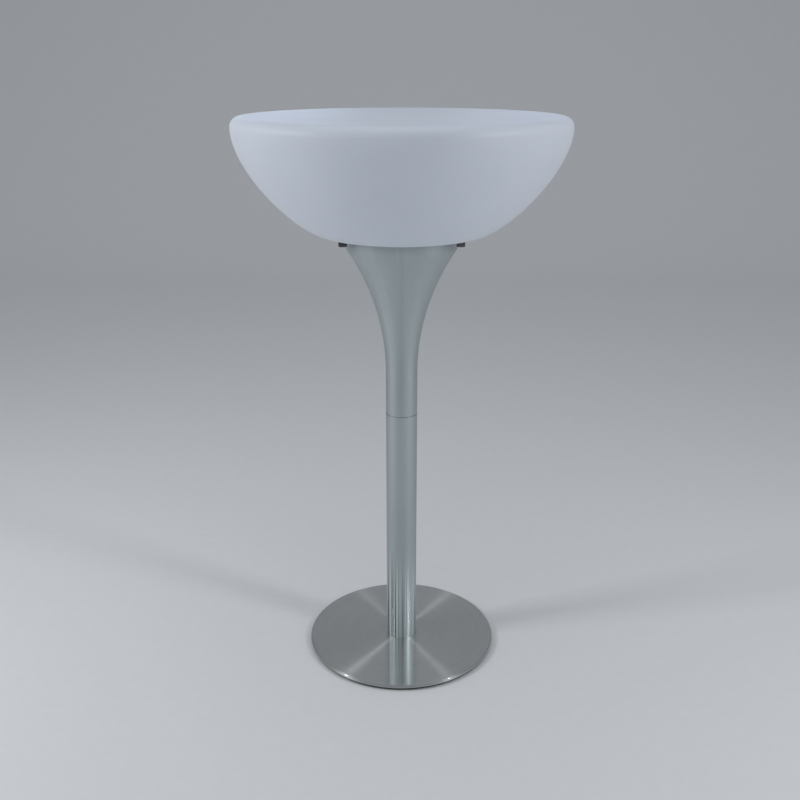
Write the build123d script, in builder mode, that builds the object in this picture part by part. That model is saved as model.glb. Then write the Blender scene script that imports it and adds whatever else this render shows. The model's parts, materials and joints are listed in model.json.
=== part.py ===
from build123d import *
import math
import os

os.makedirs("parts", exist_ok=True)

# Light up bar table. A closed moulded bowl, whose flat top is the table top, holds a light module.
# It stands on a flared steel trumpet, a steel tube and a weighted round base.
# The origin is the middle of the base on the floor, +Z is up and the front of the table faces -Y.
# All values are in millimetres, or in degrees where the name ends in angle.

# Overall sizes
table_height = 1100.0
top_diameter = 620.0
bowl_depth = 212.0
base_diameter = 396.0
base_height = 12.0
module_opening = 176.0

# Clearances
fit_gap = 0.1
pin_gap = 0.05
cut_overrun = 2.0
countersink_angle = 90.0

# Base: a steel cover pressed over a cast weight that stands on a rubber ring
cover_wall = 1.5
cover_skirt = 6.0
cover_edge_radius = 3.5
weight_thickness = 8.0
weight_side_gap = 0.3
ring_width = 10.0
ring_inset = 5.0
ring_groove = 1.0
base_screw_radius = 4.0
base_screw_head_radius = 8.0
base_screw_length = 22.0
base_screw_pitch_radius = 18.0
base_screw_count = 3
socket_width = 5.0
socket_depth = 2.5

# Column: a straight tube below the joint, a trumpet above it, with plugs welded in their ends
tube_diameter = 63.0
tube_wall = 1.5
foot_plug_height = 15.0
joint_plug_height = 12.0
joint_plug_recess = 0.5
joint_edge_radius = 1.0
stud_radius = 6.0
stud_overlap = 2.0
stud_chamfer = 1.0
joint_nut_width = 19.0
joint_nut_height = 10.0
trumpet_wall = 1.5
trumpet_pipe_length = 88.0
flare_height = 250.0
collar_height = 20.0
collar_margin = 9.0
collar_bend_radius = 5.0

# Seat of the bowl: a flange with three ears, a gasket and three knurled thumb screws
flange_thickness = 3.0
flange_lap = 4.0
gasket_thickness = 2.0
ear_length = 16.0
ear_width = 18.0
ear_count = 3
back_angle = 90.0
seat_screw_radius = 3.0
seat_screw_length = 16.0
seat_head_radius = 8.0
seat_head_height = 9.0
seat_flute_radius = 1.1
seat_flute_count = 12
washer_radius = 8.0
washer_thickness = 1.6
insert_width = 10.0
insert_height = 12.0

# Bowl
bowl_wall = 5.0
bowl_foot_margin = 41.0
rim_radius = 18.0
low_handle_share = 0.25
high_handle_share = 0.42
low_inset_share = 0.75
high_inset_share = 0.5
boss_wall = 4.0
rebate_width = 12.0
rebate_depth = 4.0

# Light module: a tray that closes the bowl's opening and carries the battery and the boards
tray_floor = 3.0
tray_side = 2.5
tray_height = 58.0
tray_edge_gap = 0.5
tray_neck_gap = 1.5
seal_thickness = 1.0
seal_edge_gap = 1.0
ledge_width = 8.0
ledge_depth = 6.0
ledge_drop = 6.0
rib_thickness = 2.0
rib_count = 8
rib_start_angle = 22.5
tray_screw_radius = 2.0
tray_screw_head_radius = 4.0
tray_screw_length = 14.0
tray_screw_count = 6
tray_screw_start_angle = 30.0
tray_socket_width = 2.5
tray_socket_depth = 1.2
tray_pilot_floor = 2.0
tray_boss_radius = 5.5
tray_boss_height = 7.0
small_screw_radius = 1.5
small_head_radius = 2.8
small_head_height = 2.0
small_screw_length = 10.0
board_screw_count = 4

# Battery
cell_radius = 9.25
cell_length = 65.0
cell_gap = 0.7
cell_count = 4
cell_tip_radius = 2.8
cell_tip_length = 0.8
cradle_floor = 2.0
cradle_wall = 2.0
cradle_height = 10.0

# Boards
board_edge_gap = 14.0
board_thickness = 1.6
board_height = 25.0
post_radius = 3.5
post_edge_gap = 6.0
led_board_thickness = 2.0
led_board_edge_gap = 0.5
led_screw_edge_gap = 6.0
led_screw_start_angle = 45.0
led_screw_length = 7.0
led_width = 5.0
led_height = 1.6
led_ring_counts = [6, 12, 18]
led_ring_shares = [0.25, 0.5, 0.75]
eye_radius = 4.0
eye_height = 3.0
eye_dome_radius = 3.0
connector_length = 8.0
connector_width = 9.0
connector_height = 6.0
connector_place_share = 0.7
coil_radius = 5.0
coil_height = 5.0
can_radius = 4.0
can_height = 9.0
chip_width = 10.0
chip_height = 2.0

# Clear cover over the lights
dome_wall = 2.0
dome_height = 26.0
dome_edge_gap = 0.3

# Ports at the back of the underside: a push button and a charging socket with a flip cap
port_margin = 21.0
button_angle = 60.0
jack_angle = 40.0
bezel_radius = 8.0
bezel_thickness = 2.0
barrel_radius = 6.0
barrel_length = 14.0
port_nut_width = 16.0
port_nut_height = 3.0
cap_stem_radius = 4.2
cap_skirt_radius = 5.0
cap_skirt_height = 2.0
cap_stand = 1.5
cap_edge = 0.4
lip_thickness = 1.5
chamber_height = 10.5
spring_radius = 3.4
spring_wire = 0.6
spring_turns = 5
nipple_radius = 2.4
nipple_height = 1.0
socket_bore_radius = 3.1
socket_bore_depth = 10.0
contact_radius = 1.0
contact_length = 7.5
flip_gap = 0.2
flip_radius = 7.6
flip_thickness = 1.8
flip_plug_radius = 2.4
flip_plug_height = 1.7
flip_tab_width = 4.0
flip_tab_reach = 2.0
hinge_reach = 9.6
hinge_pin_radius = 0.75
knuckle_radius = 1.5
knuckle_width = 5.6
lug_radius = 1.6
lug_thickness = 2.0
lug_gap = 0.15
lug_root = 6.0

# Leads inside the bowl
lead_radius = 1.2
lead_rise = 11.0
lead_shoulder = 13.0
lead_level = 35.0
lead_dip_start = 76.0
lead_dip_end = 64.0
grommet_radius = 2.6
grommet_head_radius = 3.6
grommet_head_thickness = 1.0
battery_lead_radius = 1.0
battery_lead_reach = 6.5
battery_lead_slant = 4.0
led_lead_radius = 1.5
arc_share = 0.45

# Levels, from the floor up
cover_top = base_height
cover_underside = cover_top - cover_wall
weight_base = cover_underside - weight_thickness
bowl_base = table_height - bowl_depth
flange_top = bowl_base - gasket_thickness
collar_top = flange_top - flange_thickness
collar_base = collar_top - collar_height
flare_base = collar_base - flare_height
joint_height = flare_base - trumpet_pipe_length
rebate_top = bowl_base + rebate_depth
tray_inside = bowl_base + tray_floor
tray_top = bowl_base + tray_height
ledge_top = tray_top - ledge_drop
board_base = tray_inside + board_height
board_top = board_base + board_thickness
led_board_top = ledge_top + led_board_thickness

# Radii that several pieces share
base_radius = base_diameter / 2
weight_radius = base_radius - cover_wall - weight_side_gap
tube_radius = tube_diameter / 2
tube_bore = tube_radius - tube_wall
trumpet_bore = tube_radius - trumpet_wall
opening_radius = module_opening / 2
rebate_radius = opening_radius + rebate_width
tray_screw_place = opening_radius + rebate_width / 2
collar_radius = rebate_radius + collar_margin
ear_radius = collar_radius + ear_length
port_radius = collar_radius + port_margin
bowl_foot = collar_radius + bowl_foot_margin
tray_neck = opening_radius - tray_neck_gap
tray_bore = tray_neck - tray_side
board_radius = tray_bore - board_edge_gap
post_place = board_radius - post_edge_gap
led_board_radius = tray_bore - led_board_edge_gap
led_screw_place = tray_bore - led_screw_edge_gap


def around(centre_angle, radius, level):
    """The point at an angle and a radius from the table's axis, at a level."""
    turn = math.radians(centre_angle)
    return Vector(radius * math.cos(turn), radius * math.sin(turn), level)


def underside(level):
    """The plane of a downward face, on which angles run the other way round."""
    return Plane(origin=(0, 0, level), x_dir=(1, 0, 0), z_dir=(0, 0, -1))


def port_plane(centre_angle):
    """The plane of a port on the bowl's underside: X points away from the table's axis, Z points up."""
    outward = around(centre_angle, 1, 0)
    return Plane(origin=around(centre_angle, port_radius, bowl_base), x_dir=outward, z_dir=(0, 0, 1))


def ring_solid(level, height, outer, inner):
    """A flat ring, or a disc where inner is zero, from a level up."""
    with BuildPart() as ring:
        with BuildSketch(Plane.XY.offset(level)):
            Circle(outer)
            if inner > 0:
                Circle(inner, mode=Mode.SUBTRACT)
        extrude(amount=height)
    return ring


def countersunk_screw(head_radius, shank_radius, length, drive_width, drive_depth):
    """A screw that points up, with the flat of its head at the origin."""
    with BuildPart() as screw:
        with BuildSketch(Plane.XZ):
            with BuildLine():
                Polyline(
                    (0, 0),
                    (head_radius, 0),
                    (shank_radius, head_radius - shank_radius),
                    (shank_radius, length),
                    (0, length),
                    close=True,
                )
            make_face()
        revolve(axis=Axis.Z)
        with BuildSketch():
            RegularPolygon(drive_width / 2, 6, major_radius=False)
        extrude(amount=drive_depth, mode=Mode.SUBTRACT)
    return screw


def hexagon_nut(plane, width, height, bore):
    """A six sided nut that stands on a plane."""
    with BuildPart() as nut:
        with BuildSketch(plane):
            RegularPolygon(width / 2, 6, major_radius=False)
            Circle(bore, mode=Mode.SUBTRACT)
        extrude(amount=height)
    return nut


def screws_around(screw, place, count, start_angle, level):
    """Copies of one screw at an even pitch round the table's axis."""
    with BuildPart() as group:
        with Locations((0, 0, level)):
            with PolarLocations(place, count, start_angle):
                add(screw.part)
    return group


def pan_head_screw(length):
    """A small screw that points down, with the underside of its head at the origin."""
    with BuildPart() as screw:
        with BuildSketch():
            Circle(small_head_radius)
        extrude(amount=small_head_height)
        chamfer(screw.faces().sort_by(Axis.Z)[-1].edges(), small_head_height / 2)
        with BuildSketch():
            Circle(small_screw_radius)
        extrude(amount=-length)
    return screw


def eared_ring(level, height, margin):
    """The outline of the seat: a ring flush with the collar, with an ear for each screw."""
    with BuildPart() as ring:
        with BuildSketch(Plane.XY.offset(level)):
            Circle(collar_radius)
            with PolarLocations((collar_radius + ear_radius) / 2, ear_count, back_angle):
                SlotCenterToCenter(ear_length, ear_width)
            Circle(opening_radius - flange_lap, mode=Mode.SUBTRACT)
            with PolarLocations(ear_radius, ear_count, back_angle):
                Circle(seat_screw_radius + margin, mode=Mode.SUBTRACT)
        extrude(amount=height)
    return ring


# Base cover: a sheet steel pan with a rounded edge
with BuildPart() as base_cover:
    with BuildSketch(Plane.XY.offset(cover_top - cover_skirt)):
        Circle(base_radius)
    extrude(amount=cover_skirt)
    fillet(base_cover.faces().sort_by(Axis.Z)[-1].edges(), cover_edge_radius)
    offset(amount=-cover_wall, openings=base_cover.faces().sort_by(Axis.Z)[0])
    with BuildSketch(Plane.XY.offset(cover_underside)):
        with PolarLocations(base_screw_pitch_radius, base_screw_count, back_angle):
            Circle(base_screw_radius + fit_gap)
    extrude(amount=cover_wall, mode=Mode.SUBTRACT)

# Base weight: a cast disc with a groove for the rubber ring and countersunk holes
ring_outer = weight_radius - ring_inset
ring_inner = ring_outer - ring_width
with BuildPart() as base_weight:
    with BuildSketch(Plane.XY.offset(weight_base)):
        Circle(weight_radius)
    extrude(amount=weight_thickness)
    fillet(base_weight.faces().sort_by(Axis.Z)[-1].edges(), cover_edge_radius)
    with BuildSketch(Plane.XY.offset(weight_base)):
        Circle(ring_outer)
        Circle(ring_inner, mode=Mode.SUBTRACT)
    extrude(amount=ring_groove, mode=Mode.SUBTRACT)
    with Locations(underside(weight_base)):
        with PolarLocations(base_screw_pitch_radius, base_screw_count, -back_angle):
            CounterSinkHole(
                radius=base_screw_radius + fit_gap,
                counter_sink_radius=base_screw_head_radius + fit_gap,
                counter_sink_angle=countersink_angle,
            )

foot_ring = ring_solid(0, weight_base + ring_groove, ring_outer, ring_inner)

base_screws = screws_around(
    countersunk_screw(
        base_screw_head_radius, base_screw_radius, base_screw_length, socket_width, socket_depth
    ),
    base_screw_pitch_radius,
    base_screw_count,
    back_angle,
    weight_base,
)

# Column below the joint, with the outer edge rounded where the trumpet stands on it
with BuildPart() as lower_tube:
    with BuildSketch(Plane.XY.offset(cover_top)):
        Circle(tube_radius)
        Circle(tube_bore, mode=Mode.SUBTRACT)
    extrude(amount=joint_height - cover_top)
    tube_end = lower_tube.faces().sort_by(Axis.Z)[-1]
    fillet(tube_end.edges().sort_by(SortBy.LENGTH)[-1], joint_edge_radius)

with BuildPart() as foot_plug:
    with BuildSketch(Plane.XY.offset(cover_top)):
        Circle(tube_bore - fit_gap)
        with PolarLocations(base_screw_pitch_radius, base_screw_count, back_angle):
            Circle(base_screw_radius + fit_gap, mode=Mode.SUBTRACT)
    extrude(amount=foot_plug_height)

tube_plug_base = joint_height - joint_plug_recess - joint_plug_height
trumpet_plug_base = joint_height + joint_plug_recess
nut_base = tube_plug_base - joint_nut_height
stud_base = nut_base - stud_overlap
stud_top = trumpet_plug_base + joint_plug_height + stud_overlap
tube_plug = ring_solid(tube_plug_base, joint_plug_height, tube_bore - fit_gap, stud_radius + fit_gap)
trumpet_plug = ring_solid(
    trumpet_plug_base, joint_plug_height, trumpet_bore - fit_gap, stud_radius + fit_gap
)
joint_nut = hexagon_nut(
    Plane.XY.offset(nut_base), joint_nut_width, joint_nut_height, stud_radius + fit_gap
)

with BuildPart() as joint_stud:
    with BuildSketch(Plane.XY.offset(stud_base)):
        Circle(stud_radius)
    extrude(amount=stud_top - stud_base)
    chamfer(joint_stud.edges().filter_by(GeomType.CIRCLE), stud_chamfer)

# Trumpet: a pipe, a flare that is one arc tangent to the pipe, and an upright collar
with BuildPart() as trumpet:
    with BuildSketch(Plane.XZ):
        with BuildLine() as trumpet_side:
            Line((tube_radius, joint_height), (tube_radius, flare_base))
            TangentArc((tube_radius, flare_base), (collar_radius, collar_base), tangent=(0, 1))
            Line((collar_radius, collar_base), (collar_radius, collar_top))
            fillet(trumpet_side.vertices().sort_by(Axis.Y)[-2], collar_bend_radius)
            offset(amount=trumpet_wall, side=Side.LEFT)
        make_face()
    revolve(axis=Axis.Z)
    trumpet_end = trumpet.faces().sort_by(Axis.Z)[0]
    fillet(trumpet_end.edges().sort_by(SortBy.LENGTH)[-1], joint_edge_radius)

# Seat of the bowl
top_flange = eared_ring(collar_top, flange_thickness, fit_gap)
seat_gasket = eared_ring(flange_top, gasket_thickness, fit_gap)

with BuildPart() as seat_washer:
    with BuildSketch():
        Circle(washer_radius)
        Circle(seat_screw_radius + fit_gap, mode=Mode.SUBTRACT)
    extrude(amount=washer_thickness)

with BuildPart() as seat_screw:
    with BuildSketch():
        Circle(seat_head_radius)
        with PolarLocations(seat_head_radius, seat_flute_count):
            Circle(seat_flute_radius, mode=Mode.SUBTRACT)
    extrude(amount=-seat_head_height)
    with BuildSketch():
        Circle(seat_screw_radius)
    extrude(amount=seat_screw_length)

with BuildPart() as seat_insert:
    with BuildSketch():
        RegularPolygon(insert_width / 2, 6, major_radius=False)
        Circle(seat_screw_radius + fit_gap, mode=Mode.SUBTRACT)
    extrude(amount=insert_height)

washer_base = collar_top - washer_thickness
flange_washers = screws_around(seat_washer, ear_radius, ear_count, back_angle, washer_base)
flange_screws = screws_around(seat_screw, ear_radius, ear_count, back_angle, washer_base)
bowl_inserts = screws_around(seat_insert, ear_radius, ear_count, back_angle, bowl_base)

# Bowl: one closed moulding with an even wall, a rebated opening below and a boss for each fastener
top_radius = top_diameter / 2
rim_level = table_height - rim_radius
side_reach = top_radius - bowl_foot
side_rise = rim_level - bowl_base
step_top = rebate_top + bowl_wall
insert_boss_radius = insert_width / 2 + boss_wall


def bowl_outline(inset):
    """Half of the bowl's section, drawn inside its skin by an inset that keeps the wall even."""
    low_handle = low_handle_share * side_reach - low_inset_share * inset
    high_handle = high_handle_share * side_rise - high_inset_share * inset
    with BuildLine() as outline:
        Line((0, bowl_base + inset), (bowl_foot, bowl_base + inset))
        Bezier(
            (bowl_foot, bowl_base + inset),
            (bowl_foot + low_handle, bowl_base + inset),
            (top_radius - inset, rim_level - high_handle),
            (top_radius - inset, rim_level),
        )
        CenterArc((top_radius - rim_radius, rim_level), rim_radius - inset, 0, 90)
        Polyline(
            (top_radius - rim_radius, table_height - inset),
            (0, table_height - inset),
            (0, bowl_base + inset),
        )
    return outline


with BuildPart() as bowl_shell:
    with BuildSketch(Plane.XZ):
        make_face(bowl_outline(0).edges())
        make_face(bowl_outline(bowl_wall).edges(), mode=Mode.SUBTRACT)
    revolve(axis=Axis.Z)
    with BuildSketch(Plane.XY.offset(bowl_base)):
        Circle(rebate_radius + bowl_wall)
    extrude(amount=step_top - bowl_base)
    with BuildSketch(Plane.XY.offset(bowl_base)):
        with PolarLocations(ear_radius, ear_count, back_angle):
            Circle(insert_boss_radius)
    extrude(amount=insert_height + boss_wall)
    with BuildSketch(Plane.XY.offset(step_top)):
        with PolarLocations(tray_screw_place, tray_screw_count, tray_screw_start_angle):
            Circle(tray_boss_radius)
    extrude(amount=tray_boss_height)
    with BuildSketch(Plane.XY.offset(bowl_base)):
        Circle(rebate_radius)
    extrude(amount=rebate_depth, mode=Mode.SUBTRACT)
    with BuildSketch(Plane.XY.offset(rebate_top)):
        Circle(opening_radius)
    extrude(amount=step_top - rebate_top, mode=Mode.SUBTRACT)
    with BuildSketch(Plane.XY.offset(rebate_top)):
        with PolarLocations(tray_screw_place, tray_screw_count, tray_screw_start_angle):
            Circle(tray_screw_radius + fit_gap)
    extrude(amount=bowl_wall + tray_boss_height - tray_pilot_floor, mode=Mode.SUBTRACT)
    with BuildSketch(Plane.XY.offset(bowl_base)):
        with PolarLocations(ear_radius, ear_count, back_angle):
            RegularPolygon(insert_width / 2, 6, major_radius=False)
    extrude(amount=insert_height, mode=Mode.SUBTRACT)
    with BuildSketch(Plane.XY.offset(bowl_base)):
        with Locations(around(button_angle, port_radius, 0), around(jack_angle, port_radius, 0)):
            Circle(barrel_radius + fit_gap)
    extrude(amount=bowl_wall, mode=Mode.SUBTRACT)

# Light tray: a flanged tub with ribs, posts for the control board and a ledge for the light board
tray_flange = rebate_radius - tray_edge_gap
lead_heights = tray_inside + lead_level
with BuildPart() as light_tray:
    with BuildSketch(Plane.XY.offset(bowl_base)):
        Circle(tray_flange)
    extrude(amount=tray_floor)
    with BuildSketch(Plane.XY.offset(tray_inside)):
        Circle(tray_neck)
        Circle(tray_bore, mode=Mode.SUBTRACT)
        with PolarLocations(post_place, board_screw_count):
            Circle(post_radius)
    extrude(amount=board_height)
    with BuildSketch(Plane.XY.offset(board_base)):
        Circle(tray_neck)
        Circle(tray_bore, mode=Mode.SUBTRACT)
    extrude(amount=tray_top - board_base)
    with BuildSketch(Plane.XY.offset(ledge_top - ledge_depth)):
        Circle(tray_bore + tray_side / 2)
        Circle(tray_bore - ledge_width, mode=Mode.SUBTRACT)
    extrude(amount=ledge_depth)
    with BuildSketch(Plane.XY.offset(tray_inside)):
        with PolarLocations(tray_bore - ledge_width / 2, rib_count, rib_start_angle):
            Rectangle(ledge_width + tray_side, rib_thickness)
    extrude(amount=ledge_top - tray_inside - ledge_depth)
    with BuildSketch(Plane.XY.offset(board_base)):
        with PolarLocations(post_place, board_screw_count):
            Circle(small_screw_radius + fit_gap)
    extrude(amount=-small_screw_length, mode=Mode.SUBTRACT)
    with BuildSketch(Plane.XY.offset(ledge_top)):
        with PolarLocations(led_screw_place, board_screw_count, led_screw_start_angle):
            Circle(small_screw_radius + fit_gap)
    extrude(amount=-ledge_depth, mode=Mode.SUBTRACT)
    with Locations(underside(bowl_base)):
        with PolarLocations(tray_screw_place, tray_screw_count, -tray_screw_start_angle):
            CounterSinkHole(
                radius=tray_screw_radius + fit_gap,
                counter_sink_radius=tray_screw_head_radius + fit_gap,
                depth=tray_floor,
                counter_sink_angle=countersink_angle,
            )
    for angle in (button_angle, jack_angle):
        wall_hole = Plane(
            origin=around(angle, tray_bore - cut_overrun, lead_heights), z_dir=around(angle, 1, 0)
        )
        with BuildSketch(wall_hole):
            Circle(grommet_radius)
        extrude(amount=tray_side + cut_overrun + cut_overrun, mode=Mode.SUBTRACT)

with BuildPart() as tray_seal:
    with BuildSketch(Plane.XY.offset(tray_inside)):
        Circle(rebate_radius - seal_edge_gap)
        Circle(opening_radius + seal_edge_gap, mode=Mode.SUBTRACT)
        with PolarLocations(tray_screw_place, tray_screw_count, tray_screw_start_angle):
            Circle(tray_screw_radius + fit_gap, mode=Mode.SUBTRACT)
    extrude(amount=seal_thickness)

tray_screws = screws_around(
    countersunk_screw(
        tray_screw_head_radius,
        tray_screw_radius,
        tray_screw_length,
        tray_socket_width,
        tray_socket_depth,
    ),
    tray_screw_place,
    tray_screw_count,
    tray_screw_start_angle,
    bowl_base,
)

# Battery: cells side by side in a moulded cradle
cell_level = tray_inside + cradle_floor + cell_radius
cell_pitch = 2 * cell_radius + cell_gap
cell_rows = [(row - (cell_count - 1) / 2) * cell_pitch for row in range(cell_count)]
cell_start = -cell_length / 2
with BuildPart() as battery_cells:
    with BuildSketch(Plane.YZ.offset(cell_start)):
        with Locations(*[(row, cell_level) for row in cell_rows]):
            Circle(cell_radius)
    extrude(amount=cell_length - cell_tip_length)
    with BuildSketch(Plane.YZ.offset(-cell_start - cell_tip_length)):
        with Locations(*[(row, cell_level) for row in cell_rows]):
            Circle(cell_tip_radius)
    extrude(amount=cell_tip_length)

cradle_length = cell_length + 2 * (cradle_wall + fit_gap)
cradle_width = (cell_count - 1) * cell_pitch + 2 * (cell_radius + fit_gap + cradle_wall)
with BuildPart() as battery_cradle:
    with BuildSketch(Plane.XY.offset(tray_inside)):
        Rectangle(cradle_length, cradle_width)
    extrude(amount=cradle_height)
    with BuildSketch(Plane.YZ.offset(cell_start - fit_gap)):
        with Locations(*[(row, cell_level) for row in cell_rows]):
            Circle(cell_radius + fit_gap)
    extrude(amount=cell_length + 2 * fit_gap, mode=Mode.SUBTRACT)

# Control board with its coils, capacitors, chips and plug connectors
with BuildPart() as control_board:
    with BuildSketch(Plane.XY.offset(board_base)):
        Circle(board_radius)
        with PolarLocations(post_place, board_screw_count):
            Circle(small_screw_radius + fit_gap, mode=Mode.SUBTRACT)
    extrude(amount=board_thickness)

connector_place = connector_place_share * board_radius
coil_shares = [(-0.45, 0.35), (-0.2, 0.5)]
can_shares = [(-0.6, -0.1), (-0.55, -0.35), (0.35, -0.6)]
chip_shares = [(0.0, 0.0), (0.4, 0.0), (-0.1, -0.45), (0.1, 0.35)]


def on_board(place_shares):
    """Places on the control board from shares of its radius."""
    return [(board_radius * across, board_radius * along) for across, along in place_shares]


with BuildPart() as board_parts:
    with BuildSketch(Plane.XY.offset(board_top)):
        with Locations(*on_board(coil_shares)):
            Circle(coil_radius)
    extrude(amount=coil_height)
    with BuildSketch(Plane.XY.offset(board_top)):
        with Locations(*on_board(can_shares)):
            Circle(can_radius)
    extrude(amount=can_height)
    with BuildSketch(Plane.XY.offset(board_top)):
        with Locations(*on_board(chip_shares)):
            Rectangle(chip_width, chip_width)
    extrude(amount=chip_height)
    for angle in (button_angle, jack_angle):
        socket_place = Plane(
            origin=around(angle, connector_place, board_top),
            x_dir=around(angle, 1, 0),
            z_dir=(0, 0, 1),
        )
        with BuildSketch(socket_place):
            Rectangle(connector_length, connector_width)
        extrude(amount=connector_height)

board_screws = screws_around(
    pan_head_screw(small_screw_length), post_place, board_screw_count, 0, board_top
)

# Light board: a metal disc with three rings of lights round a remote control eye
with BuildPart() as led_board:
    with BuildSketch(Plane.XY.offset(ledge_top)):
        Circle(led_board_radius)
        with PolarLocations(led_screw_place, board_screw_count, led_screw_start_angle):
            Circle(small_screw_radius + fit_gap, mode=Mode.SUBTRACT)
    extrude(amount=led_board_thickness)

with BuildPart() as leds:
    with BuildSketch(Plane.XY.offset(led_board_top)):
        for ring_share, ring_count in zip(led_ring_shares, led_ring_counts):
            with PolarLocations(ring_share * led_board_radius, ring_count):
                Rectangle(led_width, led_width)
    extrude(amount=led_height)

led_board_screws = screws_around(
    pan_head_screw(led_screw_length),
    led_screw_place,
    board_screw_count,
    led_screw_start_angle,
    led_board_top,
)

with BuildPart() as infrared_eye:
    with BuildSketch(Plane.XZ):
        with BuildLine():
            Polyline(
                (0, led_board_top + eye_height + eye_dome_radius),
                (0, led_board_top),
                (eye_radius, led_board_top),
                (eye_radius, led_board_top + eye_height),
                (eye_dome_radius, led_board_top + eye_height),
            )
            CenterArc((0, led_board_top + eye_height), eye_dome_radius, 0, 90)
        make_face()
    revolve(axis=Axis.Z)

# Clear dome that stands on the edge of the light board, inside the tray's rim
dome_radius = tray_bore - dome_edge_gap
with BuildPart() as light_cover:
    with BuildSketch(Plane.XZ):
        with BuildLine() as dome_side:
            Line((dome_radius, led_board_top), (dome_radius, tray_top))
            ThreePointArc(
                (dome_radius, tray_top),
                (0, tray_top + dome_height),
                (-dome_radius, tray_top),
            )
            Line((-dome_radius, tray_top), (-dome_radius, led_board_top))
            offset(amount=dome_wall, side=Side.LEFT)
        make_face()
        split(bisect_by=Plane.YZ)
    revolve(axis=Axis.Z)

# Push button
button_plane = port_plane(button_angle)
lip_top = lip_thickness - bezel_thickness
chamber_top = lip_top + chamber_height
with BuildPart() as power_button_body:
    with BuildSketch(button_plane):
        Circle(bezel_radius)
    extrude(amount=-bezel_thickness)
    with BuildSketch(button_plane):
        Circle(barrel_radius)
    extrude(amount=barrel_length)
    with BuildSketch(button_plane.offset(lip_top)):
        Circle(cap_skirt_radius + fit_gap)
    extrude(amount=chamber_height, mode=Mode.SUBTRACT)
    with BuildSketch(button_plane.offset(lip_top)):
        Circle(cap_stem_radius + fit_gap)
    extrude(amount=-lip_thickness, mode=Mode.SUBTRACT)

skirt_base = lip_top + fit_gap
skirt_top = skirt_base + cap_skirt_height
with BuildPart() as power_button_cap:
    with BuildSketch(button_plane.offset(-bezel_thickness - cap_stand)):
        Circle(cap_stem_radius)
    extrude(amount=skirt_base + bezel_thickness + cap_stand)
    chamfer(power_button_cap.faces().sort_by(Axis.Z)[0].edges(), cap_edge)
    with BuildSketch(button_plane.offset(skirt_base)):
        Circle(cap_skirt_radius)
    extrude(amount=cap_skirt_height)
    with BuildSketch(button_plane.offset(skirt_top)):
        Circle(nipple_radius)
    extrude(amount=nipple_height)

spring_base = skirt_top + spring_wire / 2
spring_rise = chamber_top - skirt_top - spring_wire
with BuildPart() as power_button_spring:
    with BuildLine(button_plane.offset(spring_base)):
        coil = Helix(pitch=spring_rise / spring_turns, height=spring_rise, radius=spring_radius)
    with BuildSketch(Plane(origin=coil @ 0, z_dir=coil % 0)):
        RegularPolygon(spring_wire / 2, 6)
    sweep(is_frenet=True)

power_button_nut = hexagon_nut(
    button_plane.offset(bowl_wall), port_nut_width, port_nut_height, barrel_radius + fit_gap
)

# Charging socket with its centre contact
jack_plane = port_plane(jack_angle)
hinge_level = -bezel_thickness - flip_gap - flip_thickness / 2
flip_top = -bezel_thickness - flip_gap
lug_inner = knuckle_width / 2 + lug_gap
lug_outer = lug_inner + lug_thickness
jack_outward = around(jack_angle, 1, 0)
jack_along = around(jack_angle + 90, 1, 0)


def beside_jack(along):
    """The upright plane beside the charging socket: X points away from the table's axis, Y up."""
    centre = around(jack_angle, port_radius, bowl_base) + jack_along * along
    return Plane(origin=centre, x_dir=jack_outward, z_dir=-jack_along)


with BuildPart() as charge_jack_body:
    with BuildSketch(jack_plane):
        Circle(bezel_radius)
    extrude(amount=-bezel_thickness)
    with BuildSketch(jack_plane):
        Circle(barrel_radius)
    extrude(amount=barrel_length)
    for side_start in (lug_outer, -lug_inner):
        with BuildSketch(beside_jack(side_start)):
            with Locations((hinge_reach, hinge_level)):
                Circle(lug_radius)
            with BuildLine():
                Polyline(
                    (lug_root, 0),
                    (lug_root, -bezel_thickness),
                    (hinge_reach - lug_radius, -bezel_thickness),
                    (hinge_reach - lug_radius, hinge_level),
                    (hinge_reach + lug_radius, hinge_level),
                    (hinge_reach + lug_radius, 0),
                    close=True,
                )
            make_face()
        extrude(amount=lug_thickness)
    with BuildSketch(jack_plane.offset(-bezel_thickness)):
        Circle(socket_bore_radius)
    extrude(amount=socket_bore_depth, mode=Mode.SUBTRACT)
    with BuildSketch(beside_jack(lug_outer)):
        with Locations((hinge_reach, hinge_level)):
            Circle(hinge_pin_radius + pin_gap)
    extrude(amount=lug_outer + lug_outer, mode=Mode.SUBTRACT)

bore_end = socket_bore_depth - bezel_thickness
with BuildPart() as charge_jack_contact:
    with BuildSketch(jack_plane.offset(bore_end)):
        Circle(contact_radius)
    extrude(amount=-contact_length)
    fillet(charge_jack_contact.faces().sort_by(Axis.Z)[0].edges(), contact_radius / 2)

charge_jack_nut = hexagon_nut(
    jack_plane.offset(bowl_wall), port_nut_width, port_nut_height, barrel_radius + fit_gap
)

with BuildPart() as cap_hinge_pin:
    with BuildSketch(beside_jack(lug_outer)):
        with Locations((hinge_reach, hinge_level)):
            Circle(hinge_pin_radius)
    extrude(amount=lug_outer + lug_outer)

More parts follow.
